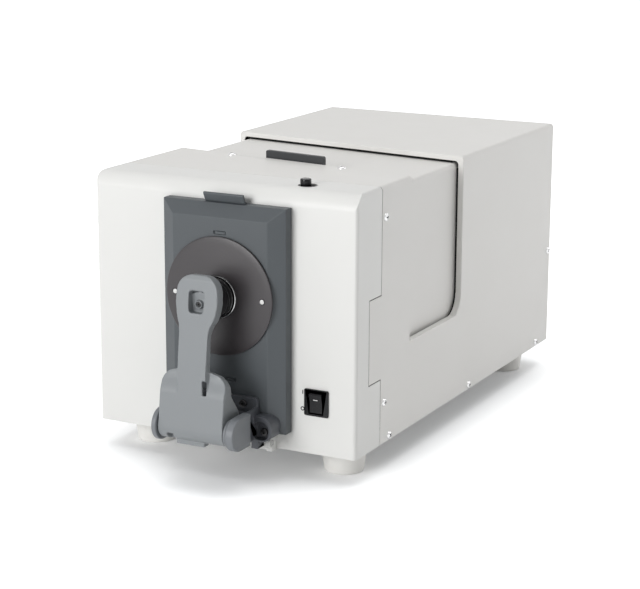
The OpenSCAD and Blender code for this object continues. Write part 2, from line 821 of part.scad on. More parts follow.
// Disc with a shallow cone, the measuring opening and a rear spigot
module target_mask() {
    placed() color("rosybrown") translate([axis_x, 0, port_z]) difference() {
        rotate([90, 0, 0]) rotate_extrude($fn = 96)
            polygon([[aperture_r, -mask_mid_y], [ring_out, -mask_mid_y], [mask_r - 0.8, -mask_edge_y],
                [mask_r, -mask_edge_y - 0.6], [mask_r, -mask_edge_y - mask_t + 0.5],
                [mask_r - 0.8, -mask_edge_y - mask_t], [spigot_r, -mask_edge_y - mask_t],
                [spigot_r, door_out - 6], [spigot_r - 3, door_out - 6],
                    [spigot_r - 3, -mask_edge_y - mask_t],
                [aperture_r + 4, -mask_mid_y - mask_t], [aperture_r, -mask_mid_y - 0.8]]);
        for (sx = [-1, 1]) rod_y(sx * mask_pin_at, 0, mask_mid_y, mask_pin_foot, mask_pin_r + run);
    }
}
module mask_ring() {
    placed() color("black") translate([axis_x, 0, port_z]) rotate([90, 0, 0]) rotate_extrude($fn = 96)
        polygon([[ring_in, -mask_mid_y], [ring_out - 0.2, -mask_mid_y], [ring_out - 0.2, -mask_mid_y + 0.5],
            [ring_out - 0.9, -ring_y], [ring_in + 0.6, -ring_y], [ring_in, -ring_y - 0.6]]);
}
module mask_pins() {
    placed() color("white") for (sx = [-1, 1])
        rod_y(axis_x + sx * mask_pin_at, port_z, mask_pin_face, mask_pin_foot, mask_pin_r);
}

// Bracket on the plate: upper flange, two lobes with sunk screws, cheeks and hinge knuckles
module bracket_lobe() {
    difference() {
        along_y(lobe_front, -door_rim + 2) translate([(lobe_in + lobe_out) / 2,
            (bracket_low + bracket_mid) / 2])
            round_box(lobe_out - lobe_in, bracket_mid - bracket_low, lobe_r);
        along_y(lobe_front - cut, lobe_front + lobe_sunk) translate(lobe_screw + lobe_pocket_off)
            round_box(lobe_pocket[0], lobe_pocket[1], 6);
    }
}
module holder_bracket() {
    placed() color("darkslategray") translate([axis_x, 0, 0]) difference() {
        union() {
            along_y(-door_out - bracket_t, -door_out) translate([0, (bracket_top + bracket_mid) / 2 - 2])
                round_box(2 * bracket_half, bracket_top - bracket_mid + 4, 3);
            block([-lobe_in - 2, -door_out - 8, bracket_low], [lobe_in + 2, -door_out, bracket_mid]);
            for (side = [-1, 1]) mirror([side < 0 ? 1 : 0, 0, 0]) {
                bracket_lobe();
                block([knuckle_x, -door_out - 4, door_axis_z],
                    [knuckle_x + knuckle_t, -door_rim, bracket_low + 4]);
                rod_x(door_axis_y, door_axis_z, knuckle_x, knuckle_x + knuckle_t, ear_r - 1);
                block([knuckle_x, -door_out - 4, door_axis_z - 3],
                    [knuckle_x + knuckle_t, door_axis_y, door_axis_z + 4]);
            }
            block([right_cover_x, axis_y + cover_back, axis_h - cover_r],
                [right_cover_x + cheek_t, -door_out, axis_h + cover_r - 1]);
            block([left_cover_x + 0.5, axis_y + cover_back, axis_h - cover_r],
                [left_cover_x + left_cover_t, -door_out, axis_h + cover_r - 1]);
        }
        door_shape_local();
        for (side = [-1, 1]) mirror([side < 0 ? 1 : 0, 0, 0]) {
            rod_x(door_axis_y, door_axis_z, knuckle_x - cut, knuckle_x + knuckle_t + cut, door_pin_r + run);
            for (p = [flange_screw, lobe_screw]) rod_y(p[0], p[1], lobe_front - cut, 0, screw_r + 0.1);
        }
    }
}

// The front plate's outer form, counted from the sample axis, for cutting what sits on it
module door_shape_local() {
    translate([-axis_x, 0, 0]) intersection() {
        along_x(axis_x - door_w, axis_x + door_w) door_side(0);
        translate([axis_x, 0, door_base - cut]) linear_extrude(door_h + 2 * cut) door_plan(0);
    }
}
module bracket_screws() {
    placed() color("black") translate([axis_x, 0, 0]) for (sx = [-1, 1]) {
        translate([sx * flange_screw[0], -door_out - bracket_t, flange_screw[1]]) rotate([0, 0, -90])
            pan_screw(4, 2.4, screw_r, 9);
        translate([sx * lobe_screw[0], lobe_front + lobe_sunk, lobe_screw[1]]) rotate([0, 0, -90])
            pan_screw(3.6, 2.4, screw_r, 14);
    }
}

// Hinge covers: round in front, square behind
module cover_drawing() {
    circle(cover_r);
    translate([0, -cover_r]) square([cover_back, 2 * cover_r]);
}
module hinge_covers() {
    placed() color("gray") translate([axis_x, axis_y, axis_h]) difference() {
        union() {
            along_x(left_cover_x, left_cover_x + left_cover_t) cover_drawing();
            along_x(right_cover_x, right_cover_x + right_cover_t) cover_drawing();
            rod_x(0, 0, right_boss_x, right_cover_x, cover_r - 2);
        }
        rod_x(0, 0, left_cover_x + 1.5, right_cover_x + right_cover_t - 2, hinge_pin_r);
    }
}
module hinge_pin() {
    placed() color("silver") translate([axis_x, axis_y, axis_h])
        rod_x(0, 0, left_cover_x + 1.5, right_cover_x + right_cover_t - 2, hinge_pin_r);
}

// Torsion spring inside the barrel, drawn as the sleeve that its turns fill
module torsion_spring() {
    placed() color("silver") translate([axis_x, axis_y, axis_h]) difference() {
        rod_x(0, 0, spring_from, spring_to, spring_r);
        rod_x(0, 0, spring_from - cut, spring_to + cut, hinge_pin_r + 0.6);
    }
}

// Front outline of the holder: skirt, neck and head, with round shoulders and blends
function half_arm() = let (s = skirt_w / 2 - skirt_in, n = neck_w / 2, h = head_w / 2, top = arm_len)
    concat(
    [[s, -3]], arc(s - 15, skirt_top - 16, 15, 0, 62, 6), [[n, skirt_top]],
    [[n, 74]], arc(n + 26, 82, 26, 180, 154, 5), arc(h - 16, 101, 16, -20, 14, 5),
        arc(h - 15.5, top - 15.5, 14, 8, 84, 7));
module arm_outline() {
    right = half_arm();
    left = [for (i = [len(right) - 1 : -1 : 0]) [-right[i][0], right[i][1]]];
    translate([0.6, 0]) polygon(concat(right, left));
}

// Side profile of the holder, drawn in Y and Z from its hinge
module arm_profile() {
    f = -arm_face;
    polygon([[f, 0], [f, arm_len - 6], [f + 1.6, arm_len - 1.5], [f + 4.5, arm_len + 1],
        [f + head_t - 2.5, arm_len + 1],
        [f + head_t, arm_len - 3], [f + head_t, 98], [f + neck_t, 86], [f + neck_t, skirt_top + 4],
        [f + neck_t + 2, skirt_top - 3], [-0.5, 42], [2, 32.5], [16.5, 17.7], [17.5, 9], [8, -9],
            [-8, -9]]);
}

// Swinging holder: shell with side flanges, barrel, screw well and pad boss
module holder_arm() {
    placed() color("gray") translate([axis_x, axis_y, axis_h]) difference() {
        union() {
            rotate([-lean, 0, 0]) difference() {
                intersection() {
                    along_y(-60, 60) arm_outline();
                    along_x(-60, 60) arm_profile();
                }
                along_y(-arm_face + 3, 60) translate([0.6, (barrel_r + skirt_top) / 2 + 1])
                    round_box(skirt_w - 6, skirt_top - barrel_r - 10, 6);
                block([neck_w / 2 - 3.4, -arm_face - cut, 32], [neck_w / 2 + 0.6, -arm_face + 3.5, 45]);
                along_y(-arm_face - cut, -arm_face + head_t - 2) translate([0.3, 114])
                    round_box(14.8, 20, 3);
            }
            rod_x(0, 0, arm_left, arm_right, barrel_r);
            block([-17, -6, -barrel_r - 3], [12, 2, -barrel_r + 2]);
            rod_y(0, port_z - axis_h, -screw_well(), -pad_back_from_axis(), screw_boss_r);
            rod_y(0, port_z - axis_h, -pad_back_from_axis() - 5, -pad_back_from_axis(), 11);
        }
        rod_x(0, 0, arm_left - cut, arm_right + cut, hinge_pin_r + run);
        rod_x(0, 0, spring_from, spring_to, spring_r);
        rod_y(0, port_z - axis_h, -60, -pad_back_from_axis() + cut, pad_screw_r + 0.1);
        rod_y(0, port_z - axis_h, -60, -screw_well() + 3, pad_screw_r + 0.7);
        rotate([-lean, 0, 0]) block([-24, -arm_face - cut, -barrel_r - cut], [-17, 0, -6]);
    }
}
function pad_back_from_axis() = axis_y - pad_back;
function screw_well() = -6;

// Specimen pad on the holder's head
module sample_pad() {
    placed() color("black") translate([axis_x, 0, port_z]) difference() {
        union() {
            rod_y(0, 0, pad_back, pad_front, pad_r - 1);
            rod_y(0, 0, pad_front - 8, pad_front - 0.6, pad_r);
        }
        rod_y(0, 0, pad_back - cut, pad_front - 10, pad_screw_r);
    }
}
module pad_screw() {
    placed() color("black") translate([axis_x, 0, port_z]) union() {
        rod_y(0, 0, axis_y + 6, pad_front - 11, pad_screw_r);
        rod_y(0, 0, axis_y + 6, axis_y + 8, pad_screw_r + 0.5);
    }
}

// Snap-in switch frame
module switch_frame() {
    z = foot_h + switch_z;
    placed() color("black") translate([switch_x, 0, z]) difference() {
        union() {
            along_y(-2, 0) round_box(switch_w, switch_h, 1.5);
            along_y(0, 22) square([switch_w - 3 - 2 * fit, switch_h - 3 - 2 * fit], center = true);
        }
        along_y(-2 - cut, 20) square([rocker_w + 2 * rocker_gap, rocker_h + 2 * rocker_gap], center = true);
    }
    placed() color("black") translate([switch_x, 0, foot_h + switch_z])
        rod_x(rocker_y, 0, -rocker_w / 2 - rocker_gap, rocker_w / 2 + rocker_gap, rocker_pin_r);
}
module power_rocker() {
    placed() color("black") translate([switch_x, rocker_y, foot_h + switch_z]) difference() {
        intersection() {
            along_x(-rocker_w / 2, rocker_w / 2) polygon([[-3.2, -rocker_h], [-3.2, 0], [-8.2, rocker_h],
                [3, rocker_h], [3, 4], [9, 2], [9, -2], [3, -4], [3, -rocker_h]]);
            rod_x(0, 0, -rocker_w, rocker_w, rocker_r);
        }
        rod_x(0, 0, -rocker_w, rocker_w, rocker_pin_r + run);
    }
}

// Knob hole insert and the knob with its stem
module knob_guide() {
    placed() color("black") translate([knob_x, knob_y, top_z - bezel_t]) difference() {
        union() {
            translate([0, 0, -1.2]) cylinder(h = 1.2, r = knob_hole_r + 1.2);
            cylinder(h = 1.2, r = knob_hole_r - fit);
        }
        translate([0, 0, -2 - cut]) linear_extrude(6) round_box(knob_travel + 6.4, 5.8, 2.8);
    }
}
module viewer_knob() {
    placed() color("black") translate([knob_x - knob_travel / 2, knob_y, 0]) {
        translate([0, 0, top_z - 1.4]) cylinder(h = knob_h + 1.4, r = knob_r);
        translate([0, 0, top_z - 24]) cylinder(h = 23, r = 2.2);
    }
}
module viewer_shutter() {
    placed() color("dimgray") translate([knob_x - knob_travel / 2, knob_y, 0]) {
        block([-38, -5, top_z - 27], [5, 5, top_z - 24]);
        block([-38, -1, port_z + 43], [-18, 1, top_z - 27]);
    }
}

// Integrating sphere in two flanged halves, with its ports
module sphere_shell() {
    translate([axis_x, sphere_y, port_z]) difference() {
        union() {
            sphere(sphere_out);
            rod_y(0, 0, -4, 4, sphere_flange_r);
            block([-20, -4, deck_z - port_z], [20, 4, -sphere_flange_r + 5]);
        }
        sphere(sphere_r);
    }
}
module sphere_cuts() {
    rod_y(axis_x, port_z, 0, sphere_y, port_r - 4);
    on_axis() rod_y(0, port_z, sphere_y, front_wall, port_r - 4);
    rod_x(sphere_y - 16, port_z, axis_x - 2 * sphere_out, axis_x - 20, 10);
    for (turn = [30 : 60 : 330]) translate([axis_x, 0, port_z]) rotate([0, turn, 0])
        rod_y(sphere_flange_r - 4, 0, sphere_y - 10, sphere_y + 10, screw_r + 0.1);
}
module sphere_front() {
    placed() color("white") difference() {
        intersection() {
            sphere_shell();
            block([-body_w, frame_y + 1, 0], [body_w, sphere_y - 0.1, top_z]);
        }
        sphere_cuts();
    }
}
module sphere_rear() {
    placed() color("white") difference() {
        intersection() {
            sphere_shell();
            block([-body_w, sphere_y + 0.1, 0], [body_w, body_d, top_z]);
        }
        sphere_cuts();
    }
}
module sphere_screws() {
    placed() color("silver") translate([axis_x, sphere_y - 4, port_z]) for (turn = [30 : 60 : 330])
        rotate([0, turn, 0])
        translate([sphere_flange_r - 4, 0, 0]) rotate([0, 0, -90]) pan_screw(2.8, 2, screw_r, 9);
}

// White ring that lines the port between sphere and front plate
module port_ring() {
    placed() color("white") translate([axis_x, 0, port_z]) difference() {
        union() {
            rod_y(0, 0, -0.4, frame_y + 6, port_r - 4 - fit);
            rod_y(0, 0, frame_y - 2.4, frame_y, port_r + 4);
        }
        rod_y(0, 0, -cut, frame_y + 7, port_r - 6);
    }
}

// Flash lamp, its housing and the moving filter between lamp and sphere
module lamp_housing() {
    wide = carriage_half + 2.4;
    placed() color("silver") translate([lamp_x, lamp_y, port_z]) difference() {
        union() {
            block([-lamp_back, -wide, -lamp_half], [lamp_front, wide, lamp_half]);
            for (side = [-1, 1]) mirror([0, side < 0 ? 1 : 0, 0])
                block([lamp_front, carriage_half + 0.4, -lamp_half], [lamp_front + 5, wide, lamp_half]);
            block([-lamp_back, -wide / 2, deck_z - port_z], [-lamp_back + 6, wide / 2, -lamp_half]);
        }
        block([2 - lamp_back, 2 - wide, 2 - lamp_half], [lamp_front + cut, wide - 2, lamp_half - 2]);
        rod_x(0, 0, -lamp_back - 4, -lamp_back + 6, 3);
    }
}
module flash_lamp() {
    long = 2 * lamp_half - 4;
    placed() color("lightyellow") translate([lamp_x - 6, lamp_y, port_z - long / 2]) {
        cylinder(h = long, r = lamp_r);
        for (z = [0, long - lamp_r]) translate([0, 0, z]) cylinder(h = lamp_r, r = lamp_r + 2);
    }
}

// Filter slide with a clear hole and a filter hole, moved by the motor's screw
module filter_carriage() {
    lug = lamp_screw_x - carriage_x;
    placed() color("gray") translate([carriage_x, lamp_y, port_z]) difference() {
        union() {
            block([-1.2, -carriage_half, -36], [1.2, carriage_half, 32]);
            block([lug - 4, -5, -36], [1.2, 5, -30]);
        }
        for (z = [0, filter_travel]) rod_x(0, z, -1.2 - cut, 1.2 + cut, filter_r);
        translate([lug, 0, -40]) cylinder(h = 20, r = 2 + run);
    }
}
module filter_motor() {
    placed() color("dimgray") translate([lamp_screw_x, lamp_y, deck_z]) {
        block([-motor_w / 2, -motor_w / 2, 0], [motor_w / 2, motor_w / 2, motor_h]);
        translate([0, 0, motor_h]) cylinder(h = port_z - deck_z - motor_h - 29, r = 2);
    }
}

// Beam lens behind the chamber, on the slanted axis
module lens_barrel() {
    placed() color("dimgray") on_axis() translate([0, 0, port_z]) difference() {
        union() {
            rod_y(0, 0, rear_wall + wall_t, rear_wall + wall_t + 4, lens_r + 9);
            rod_y(0, 0, rear_wall + wall_t, rear_wall + 48, lens_r + 3);
        }
        rod_y(0, 0, rear_wall, rear_wall + 60, lens_r - 2);
        rod_y(0, 0, rear_wall, rear_wall + 12, lens_r);
    }
}
module beam_lens() {
    bulge = 3 * lens_r;
    half_turn = asin(1 / 3);
    placed() color("lightcyan") on_axis() translate([0, rear_wall + 10, port_z]) rotate([90, 0, 0])
        rotate_extrude()
        polygon(concat([[0, -2]], [for (i = [0 : 5]) let (a = half_turn * i / 5)
            [i == 5 ? lens_r - soft : bulge * sin(a), 2 + bulge * (cos(a) - cos(half_turn))]],
                [[lens_r - soft, -2]]));
}

// Spectrometer in a closed box at the end of the beam
module spectrometer_base() {
    placed() color("dimgray") on_axis() difference() {
        union() {
            block([spec_left, spec_from, spec_low], [spec_right, spec_from + spec_len, spec_high]);
            for (p = spec_legs) translate([p[0], spec_from + p[1], deck_z])
                cylinder(h = spec_low - deck_z, r = 4);
        }
        block([spec_left + spec_t, spec_from + spec_t, spec_low + spec_t],
            [spec_right - spec_t, spec_from + spec_len - spec_t, spec_high + cut]);
        rod_y(0, port_z, spec_from - cut, spec_from + spec_t + cut, 6);
    }
}
module spectrometer_lid() {
    placed() color("gray") on_axis()
        block([spec_left, spec_from, spec_high], [spec_right, spec_from + spec_len, spec_high + 3]);
}
module grating() {
    placed() color("plum") on_axis() translate([0, spec_from + spec_len - spec_t - 14, port_z])
        difference() {
        block([-20, 0, -20], [20, 14, 20]);
        translate([-4, -118, 0]) sphere(120);
    }
}
module sensor_array() {
    placed() color("darkgreen") on_axis() translate([-64, spec_from + spec_t, port_z]) {
        block([-20, 0, -16], [20, 2, 16]);
        block([-14, 2, -5], [14, 6, 5]);
    }
}

// Electronics on the tray
module power_supply() {
    placed() color("silver") difference() {
        block([psu_left, psu_front, deck_z], [psu_left + psu_w, psu_rear, deck_z + psu_h]);
        block([psu_left + psu_t, psu_front + psu_t, deck_z + psu_t],
            [psu_left + psu_w - psu_t, psu_rear - psu_t, deck_z + psu_h - psu_t]);
        for (i = [0 : 7]) translate([psu_left + psu_w * (i + 0.9) / 9.2, 0, deck_z])
            block([-2, psu_front - cut, psu_h * 0.3], [2, psu_front + psu_t + cut, psu_h * 0.8]);
    }
}
module capacitors() {
    placed() color("navy") for (i = [0 : 2]) translate([cap_x + i * cap_step, cap_y, deck_z])
        cylinder(h = cap_h, r = cap_r);
}
module main_board() {
    placed() color("darkgreen") translate([board_low[0], board_low[1], board_z]) {
        cube([board_high[0] - board_low[0], board_high[1] - board_low[1], board_t]);
        translate([24, 40, board_t]) cube([24, 24, 2.4]);
        translate([64, 50, board_t]) cube([14, 28, 2.4]);
        translate([66, 20, board_t]) cube([26, 14, 7.4]);
    }
}
module board_posts() {
    placed() color("goldenrod") for (x = [board_low[0] + 6, board_high[0] - 6],
        y = [board_low[1] + 6, board_high[1] - 6])
        translate([x, y, deck_z]) cylinder(h = board_z - deck_z, r = 3);
}

// Mains inlet with its blades, and a data socket, both set in the rear panel
module inlet_socket() {
    placed() color("black") translate([inlet_x, 0, inlet_z]) difference() {
        union() {
            along_y(panel_y, panel_y + 1.6) round_box(inlet_w + 20, inlet_h + 3.4, 3);
            along_y(panel_y - 26, panel_y) square([inlet_w - 2 * fit, inlet_h - 2 * fit], center = true);
        }
        along_y(panel_y - 18, body_d) round_box(24.4, 16.6, 2);
    }
}
module inlet_blades() {
    placed() color("silver") translate([inlet_x, 0, inlet_z]) for (p = [[-7, -2], [0, 2], [7, -2]])
        block([p[0] - 1, panel_y - 18, p[1] - 2], [p[0] + 1, panel_y - 3, p[1] + 2]);
}
module data_socket() {
    placed() color("silver") translate([data_x, 0, data_z]) difference() {
        union() {
            along_y(panel_y, panel_y + 1) round_box(data_w + 12, data_h + 2, 1);
            along_y(panel_y - 12, panel_y + 2.4) square([data_w - 2 * fit, data_h - 2 * fit],
                center = true);
        }
        along_y(panel_y - 5, body_d) round_box(data_w - 3, data_h - 3, 2);
    }
}

base_tray();
main_cover();
front_bezel();
rear_panel();
front_frame();
feet();
foot_screws();
slide_lid();
lid_grip();
lid_rails();
cover_seals();
cover_screws();
rear_screws();
door_plate();
door_pull();
door_ears();
door_pins();
door_catch();
target_mask();
mask_ring();
mask_pins();
holder_bracket();
bracket_screws();
hinge_covers();
hinge_pin();
torsion_spring();
holder_arm();
sample_pad();
pad_screw();
switch_frame();
power_rocker();
knob_guide();
viewer_knob();
viewer_shutter();
chamber_front_wall();
chamber_rear_wall();
chamber_floor();
chamber_seals();
sphere_front();
sphere_rear();
sphere_screws();
port_ring();
lamp_housing();
flash_lamp();
filter_carriage();
filter_motor();
lens_barrel();
beam_lens();
spectrometer_base();
spectrometer_lid();
grating();
sensor_array();
power_supply();
capacitors();
main_board();
board_posts();
inlet_socket();
inlet_blades();
data_socket();
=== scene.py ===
"""Looks of a benchtop colour instrument: white covers, slate front plate and grey specimen holder.

Lengths in the tables are millimetres counted as in the part: X from the middle, Y from the front
face to the rear, Z from the bench. at() and MM turn them into the frame's metres.
"""

import json
import math

import bmesh
import bpy
from mathutils import Matrix, Vector
from mathutils.bvhtree import BVHTree


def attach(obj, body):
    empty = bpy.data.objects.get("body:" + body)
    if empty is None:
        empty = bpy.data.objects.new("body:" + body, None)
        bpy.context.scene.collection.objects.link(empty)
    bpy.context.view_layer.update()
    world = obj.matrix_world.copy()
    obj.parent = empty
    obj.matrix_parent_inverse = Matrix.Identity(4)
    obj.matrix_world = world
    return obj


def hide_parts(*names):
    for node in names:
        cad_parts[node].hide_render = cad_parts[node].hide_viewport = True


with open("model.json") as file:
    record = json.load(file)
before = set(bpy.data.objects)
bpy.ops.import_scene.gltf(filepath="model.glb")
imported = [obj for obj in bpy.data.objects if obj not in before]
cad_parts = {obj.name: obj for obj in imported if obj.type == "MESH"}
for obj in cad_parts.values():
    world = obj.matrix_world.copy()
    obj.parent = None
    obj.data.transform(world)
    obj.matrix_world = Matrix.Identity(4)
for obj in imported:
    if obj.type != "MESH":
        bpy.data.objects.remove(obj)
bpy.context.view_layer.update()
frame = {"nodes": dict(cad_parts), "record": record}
NODES = frame["nodes"]

MM = 0.001
MID_Y = 199.75  # the frame's origin, behind the front face
AXIS_X = 8.5  # optical axis, right of the middle
PORT_Z = 168.0  # optical axis, above the bench
TOP_Z = 267.0  # top of the covers
SLANT = math.radians(8)  # turn of the chamber and its lid, seen from above
RIM_Y = 250.13  # rear edge of the chamber's opening, where it crosses the optical axis
CORNER_Z = 130.8  # middle of the round in the opening's lower rear corners
CORNER_R = 20


def at(x, y, z):
    """A place counted in the part's millimetres, as a point in metres."""
    return Vector((x, y - MID_Y, z)) * MM


def corner_y(x):
    """Fore-and-aft place of the middle of the opening's lower rear round, at a given X."""
    return RIM_Y - (x - AXIS_X) * math.tan(SLANT) - CORNER_R


PORT = at(AXIS_X, 0, PORT_Z)


# Meshes


def linked(name, data):
    """A new object in the scene."""
    obj = bpy.data.objects.new(name, data)
    bpy.context.scene.collection.objects.link(obj)
    return obj


def mesh_of(shell, name):
    """A working shell as a mesh; the shell goes."""
    mesh = bpy.data.meshes.new(name)
    shell.to_mesh(mesh)
    shell.free()
    return mesh


def smoothed(mesh, sharp):
    """The mesh shaded smooth, but for edges sharper than an angle in degrees."""
    mesh.shade_smooth()
    mesh.set_sharp_from_angle(angle=math.radians(sharp))
    return mesh


def dress(obj, slot):
    """One finish over the whole piece."""
    obj.data.materials.clear()
    obj.data.materials.append(MAT[slot])


def piece(name, mesh, body, slot, *stands_for):
    """A finished piece: dressed in its slot's finish, riding on its body, with the nodes it stands for
    hidden.
    """
    obj = linked(name, mesh)
    dress(obj, slot)
    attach(obj, body)
    if stands_for:
        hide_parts(*stands_for)


def carried_out(obj):
    """The object's mesh with its modifiers carried out; the object goes."""
    graph = bpy.context.evaluated_depsgraph_get()
    mesh = bpy.data.meshes.new_from_object(obj.evaluated_get(graph))
    bpy.data.objects.remove(obj)
    return mesh


def settled(obj, sharp, flats=True):
    """The finished mesh: smooth but for its sharp edges, and its flat faces shaded flat if asked."""
    mesh = smoothed(carried_out(obj), sharp)
    if not flats:
        return mesh
    even = loose(mesh)
    weigh = even.modifiers.new("weigh", "WEIGHTED_NORMAL")
    weigh.keep_sharp = True
    weigh.weight = 90
    return carried_out(even)


def loose(mesh):
    """A working object round a mesh, in the scene so that modifiers run."""
    return linked("working", mesh)


def merged_copy(node, flat=0.4):
    """A copy of a node's mesh as a closed shell, with faces that lie flat within an angle made whole."""
    weld = 0.004 * MM
    shell = bmesh.new()
    shell.from_mesh(NODES[node].data)
    bmesh.ops.remove_doubles(shell, verts=shell.verts, dist=weld)
    bmesh.ops.dissolve_degenerate(shell, edges=shell.edges, dist=weld)
    if flat:
        bmesh.ops.dissolve_limit(
            shell, angle_limit=math.radians(flat), verts=shell.verts, edges=shell.edges, delimit={"NORMAL"}
        )
    clean = bmesh.new()
    points = [clean.verts.new(v.co) for v in shell.verts]
    shell.verts.index_update()
    for face in shell.faces:
        clean.faces.new([points[v.index] for v in face.verts])
    shell.free()
    return mesh_of(clean, node + "_copy")


def eased(name, node, body, slot, width, segments, angle=32, full=None):
    """A node's own form with its sharp edges eased, where a test is given only some of them fully."""
    partly = 0.25
    mesh = merged_copy(node)
    shell = bmesh.new()
    shell.from_mesh(mesh)
    layer = shell.edges.layers.float.new("bevel_weight_edge")
    for edge in shell.edges:
        if len(edge.link_faces) == 2 and edge.calc_face_angle(0.0) > math.radians(angle):
            middle = (edge.verts[0].co + edge.verts[1].co) / 2 / MM
            edge[layer] = 1.0 if full is None or full(middle.x, middle.y + MID_Y, middle.z) else partly
    shell.to_mesh(mesh)
    shell.free()
    obj = loose(mesh)
    ease = obj.modifiers.new("ease", "BEVEL")
    ease.width = width * MM
    ease.segments = segments
    ease.limit_method = "WEIGHT"
    ease.use_clamp_overlap = False
    cut = carried_out(obj)
    kept_on_form(cut, merged_copy(node), 0.6 * width * MM)
    piece(name, settled(loose(cut), max(16, angle - 10)), body, slot, node)


def kept_on_form(mesh, form, reach):
    """Corners that a bevel throws further off the form than its reach go back onto it."""
    corners = [v.co for v in form.vertices]
    near = BVHTree.FromPolygons(corners, [list(p.vertices) for p in form.polygons])
    for v in mesh.vertices:
        spot, _, _, away = near.find_nearest(v.co)
        if away > reach:
            v.co = spot


def cast(name, node, body, slot, cell, passes, shape):
    """A node's form as a casting: remeshed finely, softened so that its edges round off, then shaped."""
    obj = loose(merged_copy(node, 0))
    grid = obj.modifiers.new("grid", "REMESH")
    grid.mode = "VOXEL"
    grid.voxel_size = cell * MM
    soften = obj.modifiers.new("soften", "SMOOTH")
    soften.factor = 0.5
    soften.iterations = passes
    mesh = carried_out(obj)
    for v in mesh.vertices:
        v.co = shape(v.co)
    piece(name, smoothed(mesh, 60), body, slot, node)


def ring_faces(shell, rows):
    """Faces between rows of points, where every row and the run of rows close on themselves."""
    for one, two in zip(rows, rows[1:] + rows[:1]):
        for j in range(len(one)):
            k = (j + 1) % len(one)
            shell.faces.new((one[j], one[k], two[k], two[j]))


def turned(profile, centre, steps, axis="Y"):
    """A closed ring of (radius, place along the axis) points turned round the Y or Z axis, as a mesh."""
    shell = bmesh.new()
    rows = []
    for i in range(steps):
        a = 2 * math.pi * i / steps
        row = []
        for r, along in profile:
            side, up = r * math.cos(a), r * math.sin(a)
            spot = (side, along, up) if axis == "Y" else (side, up, along)
            row.append(shell.verts.new(centre + Vector(spot) * MM))
        rows.append(row)
    ring_faces(shell, rows)
    bmesh.ops.remove_doubles(shell, verts=shell.verts, dist=0.002 * MM)
    bmesh.ops.recalc_face_normals(shell, faces=shell.faces)
    return smoothed(mesh_of(shell, "turned"), 35)


def joined(meshes):
    """Several meshes as one."""
    whole = bmesh.new()
    for mesh in meshes:
        whole.from_mesh(mesh)
    return smoothed(mesh_of(whole, "joined"), 35)


def add_box(shell, middle, size, turn=Matrix()):
    """A box with a size in millimetres round a place in metres, turned if asked."""
    scale = Matrix.Diagonal((*(length * MM for length in size), 1.0))
    bmesh.ops.create_cube(shell, size=1.0, matrix=Matrix.Translation(middle) @ turn @ scale)


# Materials


def own_place(tree):
    """The place on the surface, in the object's own frame."""
    return tree.nodes.new("ShaderNodeTexCoord").outputs["Object"]


def group(name, inputs, outputs):
    """An empty shader group with named sockets, and its two end nodes."""
    tree = bpy.data.node_groups.new(name, "ShaderNodeTree")
    for label, kind, value in inputs:
        socket = tree.interface.new_socket(name=label, in_out="INPUT", socket_type=kind)
        if value is not None:
            socket.default_value = value
    for label, kind in outputs:
        tree.interface.new_socket(name=label, in_out="OUTPUT", socket_type=kind)
    return tree, tree.nodes.new("NodeGroupInput"), tree.nodes.new("NodeGroupOutput")


def noise(tree, place, scale, detail=2.0, rough=0.55):
    """A noise texture fed by a place and a scale, each a socket or a plain number."""
    node = tree.nodes.new("ShaderNodeTexNoise")
    node.inputs["Detail"].default_value = detail
    node.inputs["Roughness"].default_value = rough
    tree.links.new(place, node.inputs["Vector"])
    if isinstance(scale, (int, float)):
        node.inputs["Scale"].default_value = scale
    else:
        tree.links.new(scale, node.inputs["Scale"])
    return node.outputs["Fac"]


def maths(tree, operation, one, two=None, clamp=False):
    """A Math node between sockets or plain numbers."""
    node = tree.nodes.new("ShaderNodeMath")
    node.operation = operation
    node.use_clamp = clamp
    for slot_index, value in enumerate((one, two)):
        if value is None:
            continue
        if isinstance(value, (int, float)):
            node.inputs[slot_index].default_value = value
        else:
            tree.links.new(value, node.inputs[slot_index])
    return node.outputs[0]


def spread(tree, value, low, high, from_low=0.0, from_high=1.0):
    """A value mapped from one range to another, clamped."""
    node = tree.nodes.new("ShaderNodeMapRange")
    for label, given in (
        ("Value", value),
        ("From Min", from_low),
        ("From Max", from_high),
        ("To Min", low),
        ("To Max", high),
    ):
        if isinstance(given, (int, float)):
            node.inputs[label].default_value = given
        else:
            tree.links.new(given, node.inputs[label])
    return node.outputs["Result"]


def make_coat_grain():
    """Height of a sprayed or moulded surface: fine grain with a slow swell under it."""
    tree, start, end = group(
        "coat_grain",
        [("Grain", "NodeSocketFloat", 1500.0), ("Swell", "NodeSocketFloat", 0.3)],
        [("Height", "NodeSocketFloat")],
    )
    place = own_place(tree)
    fine = noise(tree, place, start.outputs["Grain"], 3.0, 0.6)
    cells = tree.nodes.new("ShaderNodeTexVoronoi")
    cells.feature = "SMOOTH_F1"
    tree.links.new(place, cells.inputs["Vector"])
    tree.links.new(maths(tree, "MULTIPLY", start.outputs["Grain"], 0.55), cells.inputs["Scale"])
    slow = noise(tree, place, maths(tree, "MULTIPLY", start.outputs["Grain"], 0.02), 2.0, 0.5)
    swell = maths(tree, "MULTIPLY", slow, start.outputs["Swell"])
    fine_part = maths(tree, "MULTIPLY", fine, 0.6)
    cell_part = maths(tree, "MULTIPLY", cells.outputs["Distance"], 0.4)
    both = maths(tree, "ADD", fine_part, cell_part)
    tree.links.new(maths(tree, "ADD", both, swell), end.inputs["Height"])
    return tree


